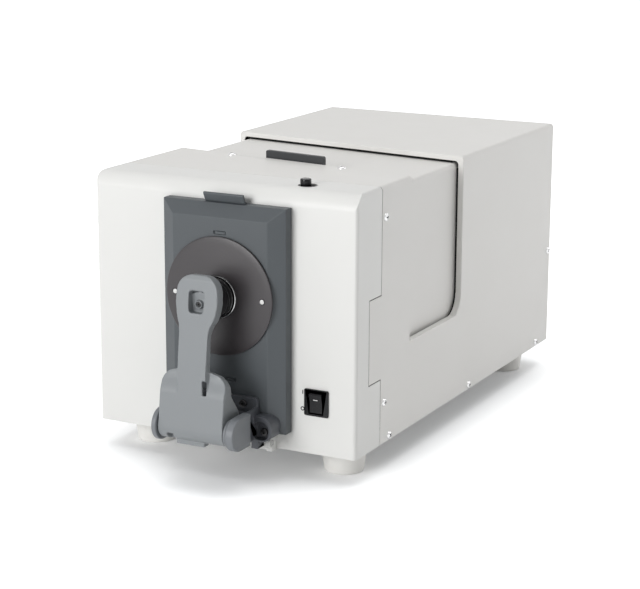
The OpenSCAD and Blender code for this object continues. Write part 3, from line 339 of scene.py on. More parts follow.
def make_tone():
    """A colour that drifts a little over the surface, with finer specks in it."""
    tree, start, end = group(
        "tone",
        [
            ("Colour", "NodeSocketColor", None),
            ("Drift", "NodeSocketFloat", 0.04),
            ("Speck", "NodeSocketFloat", 0.03),
            ("Grain", "NodeSocketFloat", 1500.0),
        ],
        [("Colour", "NodeSocketColor")],
    )
    place = own_place(tree)
    slow = noise(tree, place, 9.0, 3.0, 0.5)
    fine = noise(tree, place, start.outputs["Grain"], 2.0, 0.6)
    shade_slow = maths(tree, "MULTIPLY", maths(tree, "SUBTRACT", slow, 0.5), start.outputs["Drift"])
    shade_fine = maths(tree, "MULTIPLY", maths(tree, "SUBTRACT", fine, 0.5), start.outputs["Speck"])
    value = maths(tree, "ADD", maths(tree, "ADD", shade_slow, shade_fine), 1.0)
    change = tree.nodes.new("ShaderNodeHueSaturation")
    tree.links.new(value, change.inputs["Value"])
    tree.links.new(start.outputs["Colour"], change.inputs["Color"])
    tree.links.new(change.outputs["Color"], end.inputs["Colour"])
    return tree


def make_handling():
    """Roughness that varies in broad soft patches, as handled surfaces do."""
    tree, start, end = group(
        "handling",
        [
            ("Low", "NodeSocketFloat", 0.4),
            ("High", "NodeSocketFloat", 0.5),
            ("Patch", "NodeSocketFloat", 40.0),
        ],
        [("Roughness", "NodeSocketFloat")],
    )
    place = own_place(tree)
    patches = noise(tree, place, start.outputs["Patch"], 4.0, 0.6)
    out = spread(tree, patches, start.outputs["Low"], start.outputs["High"], 0.3, 0.7)
    tree.links.new(out, end.inputs["Roughness"])
    return tree


def make_edge_wear_and_highlight():
    """Mask of the sharp edges, broken up by noise, that get a lighter colour: partly wear, partly a painted
    highlight along the edges.
    """
    tree, start, end = group(
        "edge_wear_and_highlight",
        [("Width", "NodeSocketFloat", 0.0006), ("Amount", "NodeSocketFloat", 0.5)],
        [("Mask", "NodeSocketFloat")],
    )
    edge = tree.nodes.new("ShaderNodeBevel")
    edge.samples = 4
    tree.links.new(start.outputs["Width"], edge.inputs["Radius"])
    facing = tree.nodes.new("ShaderNodeNewGeometry")
    dot = tree.nodes.new("ShaderNodeVectorMath")
    dot.operation = "DOT_PRODUCT"
    tree.links.new(edge.outputs["Normal"], dot.inputs[0])
    tree.links.new(facing.outputs["Normal"], dot.inputs[1])
    turned_away = spread(tree, dot.outputs["Value"], 1.0, 0.0, 0.85, 0.995)
    place = own_place(tree)
    broken = spread(tree, noise(tree, place, 260.0, 4.0, 0.7), 0.3, 1.0, 0.35, 0.6)
    worn_and_lit_edge = maths(tree, "MULTIPLY", turned_away, broken)
    mask = maths(tree, "MULTIPLY", worn_and_lit_edge, start.outputs["Amount"], True)
    tree.links.new(mask, end.inputs["Mask"])
    return tree


def make_dust():
    """Mask of the faint dust on faces that look up."""
    tree, start, end = group(
        "dust",
        [("Amount", "NodeSocketFloat", 0.1)],
        [("Mask", "NodeSocketFloat")],
    )
    facing = tree.nodes.new("ShaderNodeNewGeometry")
    parts = tree.nodes.new("ShaderNodeSeparateXYZ")
    tree.links.new(facing.outputs["Normal"], parts.inputs[0])
    up = spread(tree, parts.outputs["Z"], 0.0, 1.0, 0.2, 1.0)
    place = own_place(tree)
    clumps = spread(tree, noise(tree, place, 420.0, 5.0, 0.7), 0.2, 1.0, 0.4, 0.7)
    settled_dust = maths(tree, "MULTIPLY", up, clumps)
    mask = maths(tree, "MULTIPLY", settled_dust, start.outputs["Amount"], True)
    tree.links.new(mask, end.inputs["Mask"])
    return tree


def make_turning():
    """Height of the fine rings that a lathe leaves round an axis along the pattern's Y."""
    tree, start, end = group(
        "turning",
        [("Vector", "NodeSocketVector", None), ("Rings", "NodeSocketFloat", 1600.0)],
        [("Height", "NodeSocketFloat")],
    )
    parts = tree.nodes.new("ShaderNodeSeparateXYZ")
    tree.links.new(start.outputs["Vector"], parts.inputs[0])
    squares = [maths(tree, "POWER", parts.outputs[label], 2.0) for label in ("X", "Z")]
    radius = maths(tree, "SQRT", maths(tree, "ADD", *squares))
    wobble = maths(tree, "MULTIPLY", noise(tree, start.outputs["Vector"], 60.0, 2.0, 0.5), 0.0006)
    turns = maths(tree, "MULTIPLY", maths(tree, "ADD", radius, wobble), start.outputs["Rings"])
    wave = maths(tree, "SINE", turns)
    tree.links.new(spread(tree, wave, 0.0, 1.0, -1.0, 1.0), end.inputs["Height"])
    return tree


def make_brushing():
    """Height of long fine scratches along the pattern's Y, as on rolled or brushed metal."""
    tree, start, end = group(
        "brushing",
        [("Grain", "NodeSocketFloat", 900.0)],
        [("Height", "NodeSocketFloat")],
    )
    place = own_place(tree)
    stretch = tree.nodes.new("ShaderNodeMapping")
    stretch.inputs["Scale"].default_value = (1.0, 0.04, 1.0)
    tree.links.new(place, stretch.inputs["Vector"])
    scratches = noise(tree, stretch.outputs["Vector"], start.outputs["Grain"], 4.0, 0.7)
    tree.links.new(scratches, end.inputs["Height"])
    return tree


GRAIN, TONE, HANDLING = make_coat_grain(), make_tone(), make_handling()
EDGE_WEAR_AND_HIGHLIGHT, DUST, TURNING, BRUSHING = make_edge_wear_and_highlight(), make_dust(), make_turning(), make_brushing()


def placed_group(tree, source, **values):
    """A group set into a material with its own values."""
    node = tree.nodes.new("ShaderNodeGroup")
    node.node_tree = source
    for label, value in values.items():
        node.inputs[label].default_value = value
    return node


def finish(
    name,
    colour,
    rough,
    metallic=0.0,
    grain=1500.0,
    depth=0.04,
    swell=0.3,
    drift=0.04,
    speck=0.03,
    wear_and_highlight_colour=None,
    dust=0.0,
    coat=0.0,
    specular=0.5,
    height=None,
):
    """A surface finish: drifting tone, patchy roughness and grain, with lighter edges (partly wear, partly
    painted highlight) and dust where given.

    Its height is grain, "brushed" or, given a centre, lathe rings round it. The depth is in millimetres.
    """
    dust_colour = (0.55, 0.54, 0.52)
    material = bpy.data.materials.new(name)
    material.use_nodes = True
    tree = material.node_tree
    shader = tree.nodes["Principled BSDF"]
    tone = placed_group(tree, TONE, Colour=(*colour, 1.0), Drift=drift, Speck=speck, Grain=grain)
    shade = tone.outputs["Colour"]
    for mask_group, other, values in (
        (EDGE_WEAR_AND_HIGHLIGHT, wear_and_highlight_colour, {"Width": 0.0005, "Amount": 0.55}),
        (DUST, dust_colour if dust else None, {"Amount": dust}),
    ):
        if other is None:
            continue
        mask = placed_group(tree, mask_group, **values)
        mix = tree.nodes.new("ShaderNodeMix")
        mix.data_type = "RGBA"
        tree.links.new(mask.outputs["Mask"], mix.inputs["Factor"])
        tree.links.new(shade, mix.inputs[6])
        mix.inputs[7].default_value = (*other, 1.0)
        shade = mix.outputs[2]
    tree.links.new(shade, shader.inputs["Base Color"])
    patches = placed_group(tree, HANDLING, Low=rough[0], High=rough[1])
    tree.links.new(patches.outputs["Roughness"], shader.inputs["Roughness"])
    shader.inputs["Metallic"].default_value = metallic
    shader.inputs["Specular IOR Level"].default_value = specular
    shader.inputs["Coat Weight"].default_value = coat
    shader.inputs["Coat Roughness"].default_value = 0.12
    if depth:
        bump = tree.nodes.new("ShaderNodeBump")
        bump.inputs["Strength"].default_value = 1.0
        bump.inputs["Distance"].default_value = depth * MM
        if height is None:
            source = placed_group(tree, GRAIN, Grain=grain, Swell=swell)
        elif height == "brushed":
            source = placed_group(tree, BRUSHING, Grain=grain)
        else:
            source = placed_group(tree, TURNING, Rings=grain)
            centre = tree.nodes.new("ShaderNodeMapping")
            centre.inputs["Location"].default_value = -Vector(height)
            tree.links.new(own_place(tree), centre.inputs["Vector"])
            tree.links.new(centre.outputs["Vector"], source.inputs["Vector"])
        tree.links.new(source.outputs["Height"], bump.inputs["Height"])
        tree.links.new(bump.outputs["Normal"], shader.inputs["Normal"])
    return material


def clear_glass(name, tint):
    """Clear glass with a faint tint and slightly uneven polish."""
    material = bpy.data.materials.new(name)
    material.use_nodes = True
    tree = material.node_tree
    shader = tree.nodes["Principled BSDF"]
    shader.inputs["Transmission Weight"].default_value = 1.0
    shader.inputs["IOR"].default_value = 1.5
    tone = placed_group(tree, TONE, Colour=(*tint, 1.0), Drift=0.02, Speck=0.0)
    tree.links.new(tone.outputs["Colour"], shader.inputs["Base Color"])
    patches = placed_group(tree, HANDLING, Low=0.01, High=0.05)
    tree.links.new(patches.outputs["Roughness"], shader.inputs["Roughness"])
    return material


SPRAYED = {"depth": 0.018, "speck": 0.02}
METAL = {"metallic": 1.0, "height": "brushed"}
FINISHES = {
    "cover_paint": ((0.82, 0.81, 0.785), (0.42, 0.5), {**SPRAYED, "drift": 0.015}),
    "lid_paint": ((0.82, 0.81, 0.785), (0.42, 0.5), {**SPRAYED, "drift": 0.015}),
    "bezel_plastic": ((0.82, 0.82, 0.80), (0.36, 0.44), {"depth": 0.010, "drift": 0.012, "speck": 0.012}),
    "rear_paint": ((0.78, 0.78, 0.77), (0.44, 0.52), {**SPRAYED, "drift": 0.02}),
    "tray_steel": ((0.62, 0.62, 0.61), (0.3, 0.42), {**METAL, "depth": 0.01}),
    # The black casting's lighter edges are partly wear and partly painted highlight.
    "frame_casting": ((0.05, 0.05, 0.055), (0.5, 0.6), {"depth": 0.06, "wear_and_highlight_colour": (0.2, 0.2, 0.2)}),
    "foot_rubber": ((0.88, 0.87, 0.84), (0.5, 0.6), {"depth": 0.02, "drift": 0.02}),
    "screw_steel": ((0.66, 0.66, 0.66), (0.2, 0.3), {**METAL, "depth": 0.008}),
    "grip_plastic": ((0.026, 0.028, 0.031), (0.42, 0.5), {"depth": 0.02, "dust": 0.04}),
    "rail_steel": ((0.6, 0.6, 0.6), (0.28, 0.4), {**METAL, "depth": 0.01}),
    "foam": ((0.012, 0.012, 0.012), (0.85, 0.95), {"grain": 700.0, "depth": 0.2, "specular": 0.2}),
    "slate_paint": (
        (0.080, 0.090, 0.098), (0.44, 0.50), {"depth": 0.03, "drift": 0.05, "speck": 0.10, "specular": 0.4}
    ),
    "pin_steel": ((0.62, 0.62, 0.62), (0.16, 0.26), {**METAL, "depth": 0.004}),
    "mask_paint": ((0.040, 0.035, 0.038), (0.32, 0.38), {"grain": 5200.0, "depth": 0.004, "height": PORT}),
    "ring_black": ((0.012, 0.012, 0.013), (0.10, 0.16), {"grain": 9000.0, "depth": 0.002, "height": PORT}),
    "dot_white": ((0.82, 0.82, 0.81), (0.2, 0.28), {"depth": 0.004}),
    "bracket_paint": ((0.085, 0.091, 0.104), (0.36, 0.44), {"depth": 0.03, "speck": 0.08}),
    "black_screw": ((0.016, 0.016, 0.017), (0.25, 0.36), {"depth": 0.01}),
    "cover_plastic": ((0.185, 0.197, 0.212), (0.36, 0.44), {"depth": 0.02, "speck": 0.06}),
    "arm_plastic": ((0.245, 0.261, 0.273), (0.38, 0.46), {"depth": 0.022, "drift": 0.04, "speck": 0.07}),
    "pad_black": ((0.008, 0.008, 0.009), (0.07, 0.13), {"depth": 0.002, "coat": 0.3}),
    "switch_black": ((0.004, 0.004, 0.005), (0.2, 0.28), {"depth": 0.004, "specular": 0.3}),
    "knob_black": ((0.004, 0.004, 0.005), (0.16, 0.24), {"depth": 0.004, "specular": 0.25}),
    "inner_metal": ((0.62, 0.62, 0.62), (0.3, 0.4), {**METAL, "depth": 0.01}),
    "inner_black": ((0.016, 0.016, 0.017), (0.55, 0.68), {"depth": 0.05}),
    "sphere_white": ((0.88, 0.88, 0.87), (0.7, 0.85), {"depth": 0.03, "drift": 0.01}),
    "grating_glass": ((0.72, 0.68, 0.78), (0.05, 0.1), {**METAL, "depth": 0.004}),
    "motor_steel": ((0.3, 0.3, 0.31), (0.3, 0.42), {"metallic": 1.0, "depth": 0.02}),
    "psu_steel": ((0.58, 0.58, 0.58), (0.3, 0.4), {**METAL, "depth": 0.012}),
    "sleeve_blue": ((0.03, 0.05, 0.17), (0.22, 0.32), {"depth": 0.01}),
    "board_green": ((0.012, 0.11, 0.045), (0.3, 0.42), {"depth": 0.02, "coat": 0.2}),
    "brass": ((0.66, 0.50, 0.22), (0.25, 0.35), {**METAL, "depth": 0.01}),
    "socket_black": ((0.014, 0.014, 0.015), (0.4, 0.5), {"depth": 0.02}),
    "blade_metal": ((0.72, 0.72, 0.72), (0.12, 0.2), {**METAL, "depth": 0.004}),
}
MAT = {name: finish(name, colour, rough, **more) for name, (colour, rough, more) in FINISHES.items()}
MAT["clear_glass"] = clear_glass("clear_glass", (0.92, 0.96, 0.96))
NODE_SLOT = {part["node"]: part["material_slot"] for part in frame["record"]["subparts"]}

for node_name, node_obj in NODES.items():
    dress(node_obj, NODE_SLOT[node_name])


# Screws, set in place by geometry nodes. A master has the underside of its head at the origin, points
# along +Z and is in millimetres.

CROSS_HEAD = [
    (0.0, 2.2), (1.4, 2.12), (2.4, 1.85), (3.1, 1.35), (3.45, 0.75), (3.5, 0.0),
    (1.45, 0.0), (1.45, -4.0), (0.0, -4.0),
]
SOCKET_HEAD = [
    (0.0, 2.4), (2.9, 2.4), (3.25, 2.25), (3.4, 1.9), (3.4, 0.0), (1.45, 0.0), (1.45, -6.0), (0.0, -6.0),
]


def cross_prism(shell, half_length, half_width, low, high):
    """A plus-shaped prism as one closed solid, because two boxes through each other can't cut a recess."""
    corners = [(half_length, half_width), (half_width, half_width), (half_width, half_length)]
    outline = []
    for quarter in range(4):
        for x, y in corners:
            for _ in range(quarter):
                x, y = -y, x
            outline.append((x, y))
    rows = [[shell.verts.new((x, y, z)) for x, y in outline] for z in (low, high)]
    for i in range(len(outline)):
        k = (i + 1) % len(outline)
        shell.faces.new((rows[0][i], rows[0][k], rows[1][k], rows[1][i]))
    shell.faces.new(rows[0][::-1])
    shell.faces.new(rows[1])
    bmesh.ops.recalc_face_normals(shell, faces=shell.faces)


def screw_master(recess):
    """One screw: its head with the recess cut in, and its shank."""
    mesh = turned(CROSS_HEAD if recess == "cross" else SOCKET_HEAD, Vector(), 28, "Z")
    for v in mesh.vertices:
        v.co = v.co / MM
    body = loose(mesh)
    tools = bmesh.new()
    if recess == "cross":
        cross_prism(tools, 2.05, 0.55, 0.9, 3.1)
    else:
        bmesh.ops.create_cone(
            tools, cap_ends=True, segments=6, radius1=1.45, radius2=1.45, depth=3.0,
            matrix=Matrix.Translation((0, 0, 2.4)),
        )
    cutter = loose(mesh_of(tools, "recess"))
    cut = body.modifiers.new("cut", "BOOLEAN")
    cut.operation = "DIFFERENCE"
    cut.solver = "EXACT"
    cut.object = cutter
    ease = body.modifiers.new("ease", "BEVEL")
    ease.width = 0.12
    ease.segments = 1
    ease.limit_method = "ANGLE"
    ease.angle_limit = math.radians(40)
    mesh = settled(body, 40, False)
    bpy.data.objects.remove(cutter)
    return mesh


def recess_shadow_master():
    """Painted shade in a cross recess: a black cross that fills its lower part."""
    shell = bmesh.new()
    cross_prism(shell, 2.0, 0.51, 0.7, 1.7)
    return mesh_of(shell, "recess_painted_shadow")


def screw_tree():
    """Geometry nodes that set a screw on every point, turned to the point's own direction."""
    tree = bpy.data.node_groups.new("screws_on_points", "GeometryNodeTree")
    for label, kind in (
        ("Geometry", "NodeSocketGeometry"),
        ("Screw", "NodeSocketObject"),
        ("Size", "NodeSocketFloat"),
    ):
        tree.interface.new_socket(name=label, in_out="INPUT", socket_type=kind)
    tree.interface.new_socket(name="Geometry", in_out="OUTPUT", socket_type="NodeSocketGeometry")
    nodes, links = tree.nodes, tree.links
    start, end = nodes.new("NodeGroupInput"), nodes.new("NodeGroupOutput")
    info = nodes.new("GeometryNodeObjectInfo")
    turn = nodes.new("GeometryNodeInputNamedAttribute")
    turn.data_type = "FLOAT_VECTOR"
    turn.inputs["Name"].default_value = "turn"
    euler = nodes.new("FunctionNodeEulerToRotation")
    setter = nodes.new("GeometryNodeInstanceOnPoints")
    real = nodes.new("GeometryNodeRealizeInstances")
    links.new(start.outputs["Screw"], info.inputs["Object"])
    links.new(start.outputs["Geometry"], setter.inputs["Points"])
    links.new(info.outputs["Geometry"], setter.inputs["Instance"])
    links.new(turn.outputs["Attribute"], euler.inputs["Euler"])
    links.new(euler.outputs["Rotation"], setter.inputs["Rotation"])
    links.new(start.outputs["Size"], setter.inputs["Scale"])
    links.new(setter.outputs["Instances"], real.inputs["Geometry"])
    links.new(real.outputs["Geometry"], end.inputs["Geometry"])
    return tree


SCREW_TREE = screw_tree()
SCREWS = {kind: screw_master(kind) for kind in ("cross", "socket")}
# The dark kind is a black cross of painted shade laid in each cross recess.
SCREWS["dark"] = recess_shadow_master()


def screws(name, kind, places, size, body, slot, *stands_for):
    """Screws on (place, direction, twist) rows, as one plain mesh."""
    points = bpy.data.meshes.new(name)
    points.from_pydata([tuple(place) for place, _, _ in places], [], [])
    turns = points.attributes.new("turn", "FLOAT_VECTOR", "POINT")
    for index, (_, direction, twist) in enumerate(places):
        spin = Matrix.Rotation(math.radians(twist), 3, "Z").to_quaternion()
        aim = Vector(direction).to_track_quat("Z", "Y") @ spin
        turns.data[index].vector = tuple(aim.to_euler())
    master = loose(SCREWS[kind].copy())
    carrier = loose(points)
    maker = carrier.modifiers.new("screws", "NODES")
    maker.node_group = SCREW_TREE
    keys = {s.name: s.identifier for s in SCREW_TREE.interface.items_tree if s.in_out == "INPUT"}
    maker[keys["Screw"]] = master
    maker[keys["Size"]] = size * MM
    mesh = settled(carrier, 40, False)
    bpy.data.objects.remove(master)
    piece(name, mesh, body, slot, *stands_for)


# Covers, lid and feet


def on_outside(x, z):
    """Whether a place lies on the covers' outer skin or on the round between its side and top."""
    on_round = abs(x) > 131.6 and z > TOP_Z - 3.8
    return abs(x) > 135.3 or z > TOP_Z - 0.2 or on_round


def on_opening_edge(x, y, z):
    """Whether a place lies on the outer rear edge of the slanted opening, its lower round included."""
    along = (x - AXIS_X) * math.sin(SLANT) + y * math.cos(SLANT)
    on_slant = abs(along - 247.7) < 0.3
    from_corner = math.hypot(y - corner_y(math.copysign(135.5, x)), z - CORNER_Z)
    on_corner = abs(from_corner - CORNER_R) < 0.4
    return on_outside(x, z) and z > 112 and (on_slant or on_corner)


eased("sheet_cover", "main_cover", "body", "cover_paint", 1.3, 4, full=on_opening_edge)
eased("front_moulding", "front_bezel", "body", "bezel_plastic", 0.35, 2)
eased("sliding_lid", "slide_lid", "lid", "lid_paint", 0.6, 3)
eased("finger_grip", "lid_grip", "lid", "grip_plastic", 0.9, 3)
eased("plate_ears", "door_ears", "body", "bezel_plastic", 0.4, 2)


def seam_shade():
    """Black strip behind the seam between the front moulding and the sheet cover: painted shade in the seam's
    gap.
    """
    front, rear = 49.8, 50.9
    tongue_front, tongue_low, tongue_high = 25.7, 88.7, 168.3
    bend_x, bend_z, bend_r = 131.5, TOP_Z - 4, 3.2
    shell = bmesh.new()

    def strip(low, high):
        middle = at(*[(a + b) / 2 for a, b in zip(low, high)])
        add_box(shell, middle, [b - a for a, b in zip(low, high)])

    for side in (-1, 1):
        x0, x1 = sorted((side * 134.2, side * 135.1))
        strip((x0, front, 41.0), (x1, rear, tongue_low + 0.2))
        strip((x0, tongue_front, tongue_low), (x1, rear, tongue_low + 0.8))
        strip((x0, tongue_front, tongue_low), (x1, tongue_front + 0.7, tongue_high))
        strip((x0, tongue_front, tongue_high - 0.8), (x1, rear, tongue_high))
        strip((x0, front, tongue_high - 0.8), (x1, rear, bend_z))
        for i in range(6):
            turn = math.radians(7.5 + 15 * i)
            spot_x = side * (bend_x + bend_r * math.cos(turn))
            spot = at(spot_x, (front + rear) / 2, bend_z + bend_r * math.sin(turn))
            spin = Matrix.Rotation(-turn if side > 0 else turn - math.pi, 4, "Y")
            add_box(shell, spot, (0.9, 1.1, 1.1), spin)
    strip((-bend_x, front, TOP_Z - 1.2), (bend_x, rear, TOP_Z - 0.4))
    return mesh_of(shell, "seam_shade")


# Painted shade in the seam's gap, in the black foam finish.
piece("seam_strip", seam_shade(), "body", "foam")


def lid_gap_shade():
    """Black strip behind the gap between the lid and the opening's rear rim, corner and sill: painted shade
    in the gap.
    """
    x_in, x_out = 127.35, 129.35
    sill_front = 132.0
    shell = bmesh.new()
    for side in (-1, 1):
        bend_y = corner_y(side * (x_in + x_out) / 2)
        lines = []
        for reach in (CORNER_R + 1.4, CORNER_R + 2.8):
            line = [(bend_y + reach, TOP_Z - 12)]
            for i in range(10):
                turn = math.radians(10 * i)
                line.append((bend_y + reach * math.cos(turn), CORNER_Z - reach * math.sin(turn)))
            line.append((sill_front, CORNER_Z - reach))
            lines.append(line)
        skins = []
        for x in (side * x_in, side * x_out):
            skins.append([[shell.verts.new(at(x, y, z)) for y, z in line] for line in lines])
        (a, b), (c, d) = skins
        last = len(a) - 1
        for i in range(last):
            for one, two in ((a, b), (b, d), (d, c), (c, a)):
                shell.faces.new((one[i], one[i + 1], two[i + 1], two[i]))
        shell.faces.new((a[0], b[0], d[0], c[0]))
        shell.faces.new((a[last], c[last], d[last], b[last]))
    along = 249.9
    middle = at(0, (along + AXIS_X * math.sin(SLANT)) / math.cos(SLANT), TOP_Z - 6.3)
    add_box(shell, middle, (246, 1.6, 1.8), Matrix.Rotation(-SLANT, 4, "Z"))
    bmesh.ops.recalc_face_normals(shell, faces=shell.faces)
    return mesh_of(shell, "lid_gap_shade")


# Painted shade in the lid's gap, in the black foam finish.
piece("lid_gap_lining", lid_gap_shade(), "body", "foam")

foot = [(0, 1.2), (15.4, 1.2), (16.2, 0.0), (17.0, 0.0), (17.8, 0.35), (18.2, 1.1), (18.6, 2.6)]
foot += [(21.4, 22.6), (21.8, 25.6), (21.9, 26.4), (0, 26.4)]
feet = [turned(foot, at(x, y, 0), 72, "Z") for x in (-101.5, 101.5) for y in (46, 435)]
piece("round_feet", joined(feet), "body", "foot_rubber", "feet")


# Front plate with its mask, slots and pull

eased("front_plate", "door_plate", "door", "slate_paint", 0.7, 3, 14)
eased("plate_pull", "door_pull", "door", "slate_paint", 0.45, 3)


def slot_insert(x0, x1, z0, z1):
    """Flush slider in one of the plate's two small slots, short of the slot's left end."""
    shell = bmesh.new()
    add_box(shell, at((x0 + x1) / 2, -18.85, (z0 + z1) / 2), (x1 - x0, 1.0, z1 - z0))
    return mesh_of(shell, "slot_insert")


upper = slot_insert(5.0, 14.1, PORT_Z + 56.4, PORT_Z + 58.6)
lower = slot_insert(12.9, 22.0, PORT_Z - 77.6, PORT_Z - 75.4)
piece("slot_sliders", joined([upper, lower]), "door", "slate_paint")

mask = [(12.7, -24.3), (12.9, -24.5), (20.3, -24.5)]
mask += [(20.3 + 33.3 * i / 6, -24.5 + 2.4 * i / 6) for i in range(1, 7)]
mask += [(54.1, -21.95), (54.45, -21.6), (54.5, -21.2), (54.5, -20.4), (54.2, -19.9), (53.7, -19.7)]
mask += [(38.0, -19.7), (38.0, -13.5), (35.0, -13.5), (35.0, -19.7), (16.7, -22.1), (12.7, -23.7)]
piece("target_disc", turned(mask, PORT, 180), "door", "mask_paint", "target_mask")
ring = [(17.2, -24.4), (17.2, -25.4), (17.5, -25.8), (18.0, -25.9), (18.8, -25.9)]
ring += [(19.4, -25.75), (19.85, -25.4), (20.1, -24.9), (20.1, -24.4)]
piece("raised_ring", turned(ring, PORT, 144), "door", "ring_black", "mask_ring")

# Painted highlight on the ring's polished lip: a thin round steel rod that swells on its right, where the
# highlight falls, and fades away on its left
LIP_R, LIP_Y, LIP_ROD = 19.1, -25.72, 0.32
HIGHLIGHT_SIDE = Vector((0.97, 0, -0.24))
angles = [math.radians(a) for a in range(0, 360, 30)]
lip_highlight_rod = turned([(LIP_R + LIP_ROD * math.cos(a), LIP_Y + LIP_ROD * math.sin(a)) for a in angles], PORT, 144)
for v in lip_highlight_rod.vertices:
    out = Vector((v.co.x - PORT.x, 0, v.co.z - PORT.z)).normalized()
    core = PORT + Vector((0, LIP_Y * MM, 0)) + out * LIP_R * MM
    v.co = core + (v.co - core) * (0.2 + 1.5 * max(0.0, out.dot(HIGHLIGHT_SIDE)) ** 2)
piece("bright_lip", lip_highlight_rod, "door", "pin_steel")

dot = [(0, -23.25), (1.5, -23.25), (2.0, -23.05), (2.2, -22.7), (2.2, -22.0), (0, -22.0)]
# Flat black rings round the white dots: painted shade at the edges of their holes.
dot_shadow_ring = [(2.25, -22.9), (2.9, -22.9), (2.9, -22.3), (2.25, -22.3)]
spots = [at(AXIS_X + side * 44.8, 0, PORT_Z) for side in (-1, 1)]
dots = [turned(dot, spot, 40) for spot in spots]
dot_shadow_rings = [turned(dot_shadow_ring, spot, 40) for spot in spots]
piece("white_dots", joined(dots), "door", "dot_white", "mask_pins")
piece("dot_surrounds", joined(dot_shadow_rings), "door", "ring_black")


# Holder, its bracket, hinge and pad

eased("holder_mount", "holder_bracket", "door", "bracket_paint", 0.7, 3)
eased("hinge_caps", "hinge_covers", "door", "cover_plastic", 1.3, 4, 24)

LEAN = math.radians(7)
HINGE = at(AXIS_X, -63.5, 56.5)
HEAD_WIDTHS = [  # (height above the hinge, share of the drawn width) up the neck and head
    (84, 1.0), (88, 0.98), (93, 0.93), (95.5, 0.84), (98, 0.86), (101, 0.9), (105, 0.965), (110, 1.02),
    (115, 1.05), (121, 1.055), (126, 1.04), (132, 1.02), (141, 1.0),
]


def step(value, low, high):
    """Smooth rise from 0 to 1 between two values."""
    t = min(1.0, max(0.0, (value - low) / (high - low)))
    return t * t * (3 - 2 * t)


def between(rows, value):
    """A value read off a table of rows, straight between them."""
    if value <= rows[0][0]:
        return rows[0][1]
    for (a, one), (b, two) in zip(rows, rows[1:]):
        if value <= b:
            return one + (two - one) * (value - a) / (b - a)
    return rows[-1][1]


def arm_shape(point):
    """The cast arm's last form: round head, neck a little to the left, shoulders set back behind the neck."""
    middle, neck_left, neck_half, shoulder_back = 0.6, 1.5, 14.2, 5.5
    p = (point - HINGE) / MM
    y = p.y * math.cos(LEAN) - p.z * math.sin(LEAN)
    z = p.y * math.sin(LEAN) + p.z * math.cos(LEAN)
    x = p.x - middle
    if z > 84:
        x *= between(HEAD_WIDTHS, z)
    x -= neck_left * step(z, 34, 52) * (1 - step(z, 86, 106))
    beside = abs(x + neck_left * step(z, 34, 52)) - neck_half
    if 30 < z < 62 and beside > 0:
        y += shoulder_back * step(z, 30, 50) * step(beside, 0.0, 1.6) * (1 - 0.62 * step(y, -11, -3))
    if abs(p.x - middle) > 32.6 and z < 60:
        x -= math.copysign(0.25, x)
    x += middle
    shaped = (x, y * math.cos(LEAN) + z * math.sin(LEAN), z * math.cos(LEAN) - y * math.sin(LEAN))
    return HINGE + Vector(shaped) * MM


cast("swing_arm", "holder_arm", "holder", "arm_plastic", 0.55, 6, arm_shape)
boss = [(2.4, -54.9), (2.4, -55.6), (3.2, -55.6), (3.75, -55.2), (3.8, -52.6), (2.4, -52.6)]
piece("pad_boss", turned(boss, PORT, 48), "holder", "arm_plastic")
pad_screw = [(at(AXIS_X, -54.1, PORT_Z), (0, -1, 0), 10)]
screws("pad_screw_head", "socket", pad_screw, 0.72, "holder", "black_screw", "pad_screw")
pad = [(0, -26.25), (15.2, -26.25), (16.4, -26.4), (17.0, -26.8), (17.4, -27.4), (18.2, -27.6), (18.4, -28.0)]
pad += [(18.4, -34.0), (18.2, -34.4), (17.4, -34.6), (17.4, -48.6), (17.0, -49.1), (0, -49.1)]
piece("specimen_pad", turned(pad, PORT, 144), "holder", "pad_black", "sample_pad")


# Power switch and viewer knob

eased("switch_surround", "switch_frame", "body", "switch_black", 0.6, 3)
eased("switch_rocker", "power_rocker", "rocker", "switch_black", 0.3, 2)


def flat_mark(rings, y):
    """Printed marks as thin solids: each is an outer and an inner outline in X and Z on the front face."""
    rear = y + 0.08
    shell = bmesh.new()
    for outer, inner in rings:
        rows = []
        for points, depth in ((outer, y), (inner, y), (inner, rear), (outer, rear)):
            rows.append([shell.verts.new(at(x, depth, z)) for x, z in points])
        ring_faces(shell, rows)
    bmesh.ops.recalc_face_normals(shell, faces=shell.faces)
    return mesh_of(shell, "mark")


def circle_points(x, z, r, count=32):
    """Points of a circle on the front face."""
    turns = [2 * math.pi * i / count for i in range(count)]
    return [(x + r * math.cos(a), z + r * math.sin(a)) for a in turns]


bar = [(81.9, 81.9), (82.9, 81.9), (82.9, 85.6), (81.9, 85.6)]
thin = [(82.35, 82.3), (82.45, 82.3), (82.45, 85.2), (82.35, 85.2)]
marks = [(circle_points(82.2, 68.1, 2.0), circle_points(82.2, 68.1, 1.1)), (bar, thin)]
piece("on_off_marks", flat_mark(marks, -0.06), "body", "switch_black")
# Pale bar on the rocker's ridge: a painted highlight, in the white of the dots.
rocker_glint_bar = bmesh.new()
add_box(rocker_glint_bar, at(96.6, -3.05, 78.6), (4.4, 0.2, 1.1), Matrix.Rotation(math.radians(-27), 4, "X"))
piece("rocker_mark", mesh_of(rocker_glint_bar, "rocker_highlight_bar"), "rocker", "dot_white")
knob = [(0, 5.7), (3.1, 5.7), (3.6, 5.8), (4.3, 5.8), (4.8, 5.55), (5.0, 5.0), (5.0, 1.2)]
knob += [(4.85, 0.2), (4.85, -1.3), (2.2, -1.3), (2.2, -23), (0, -23)]
knob_mesh = turned(knob, at(71.1, 26.3, TOP_Z), 64, "Z")
piece("knob_cap", knob_mesh, "viewer", "knob_black", "viewer_knob")


# Screws of the covers, the rear panel and the bracket

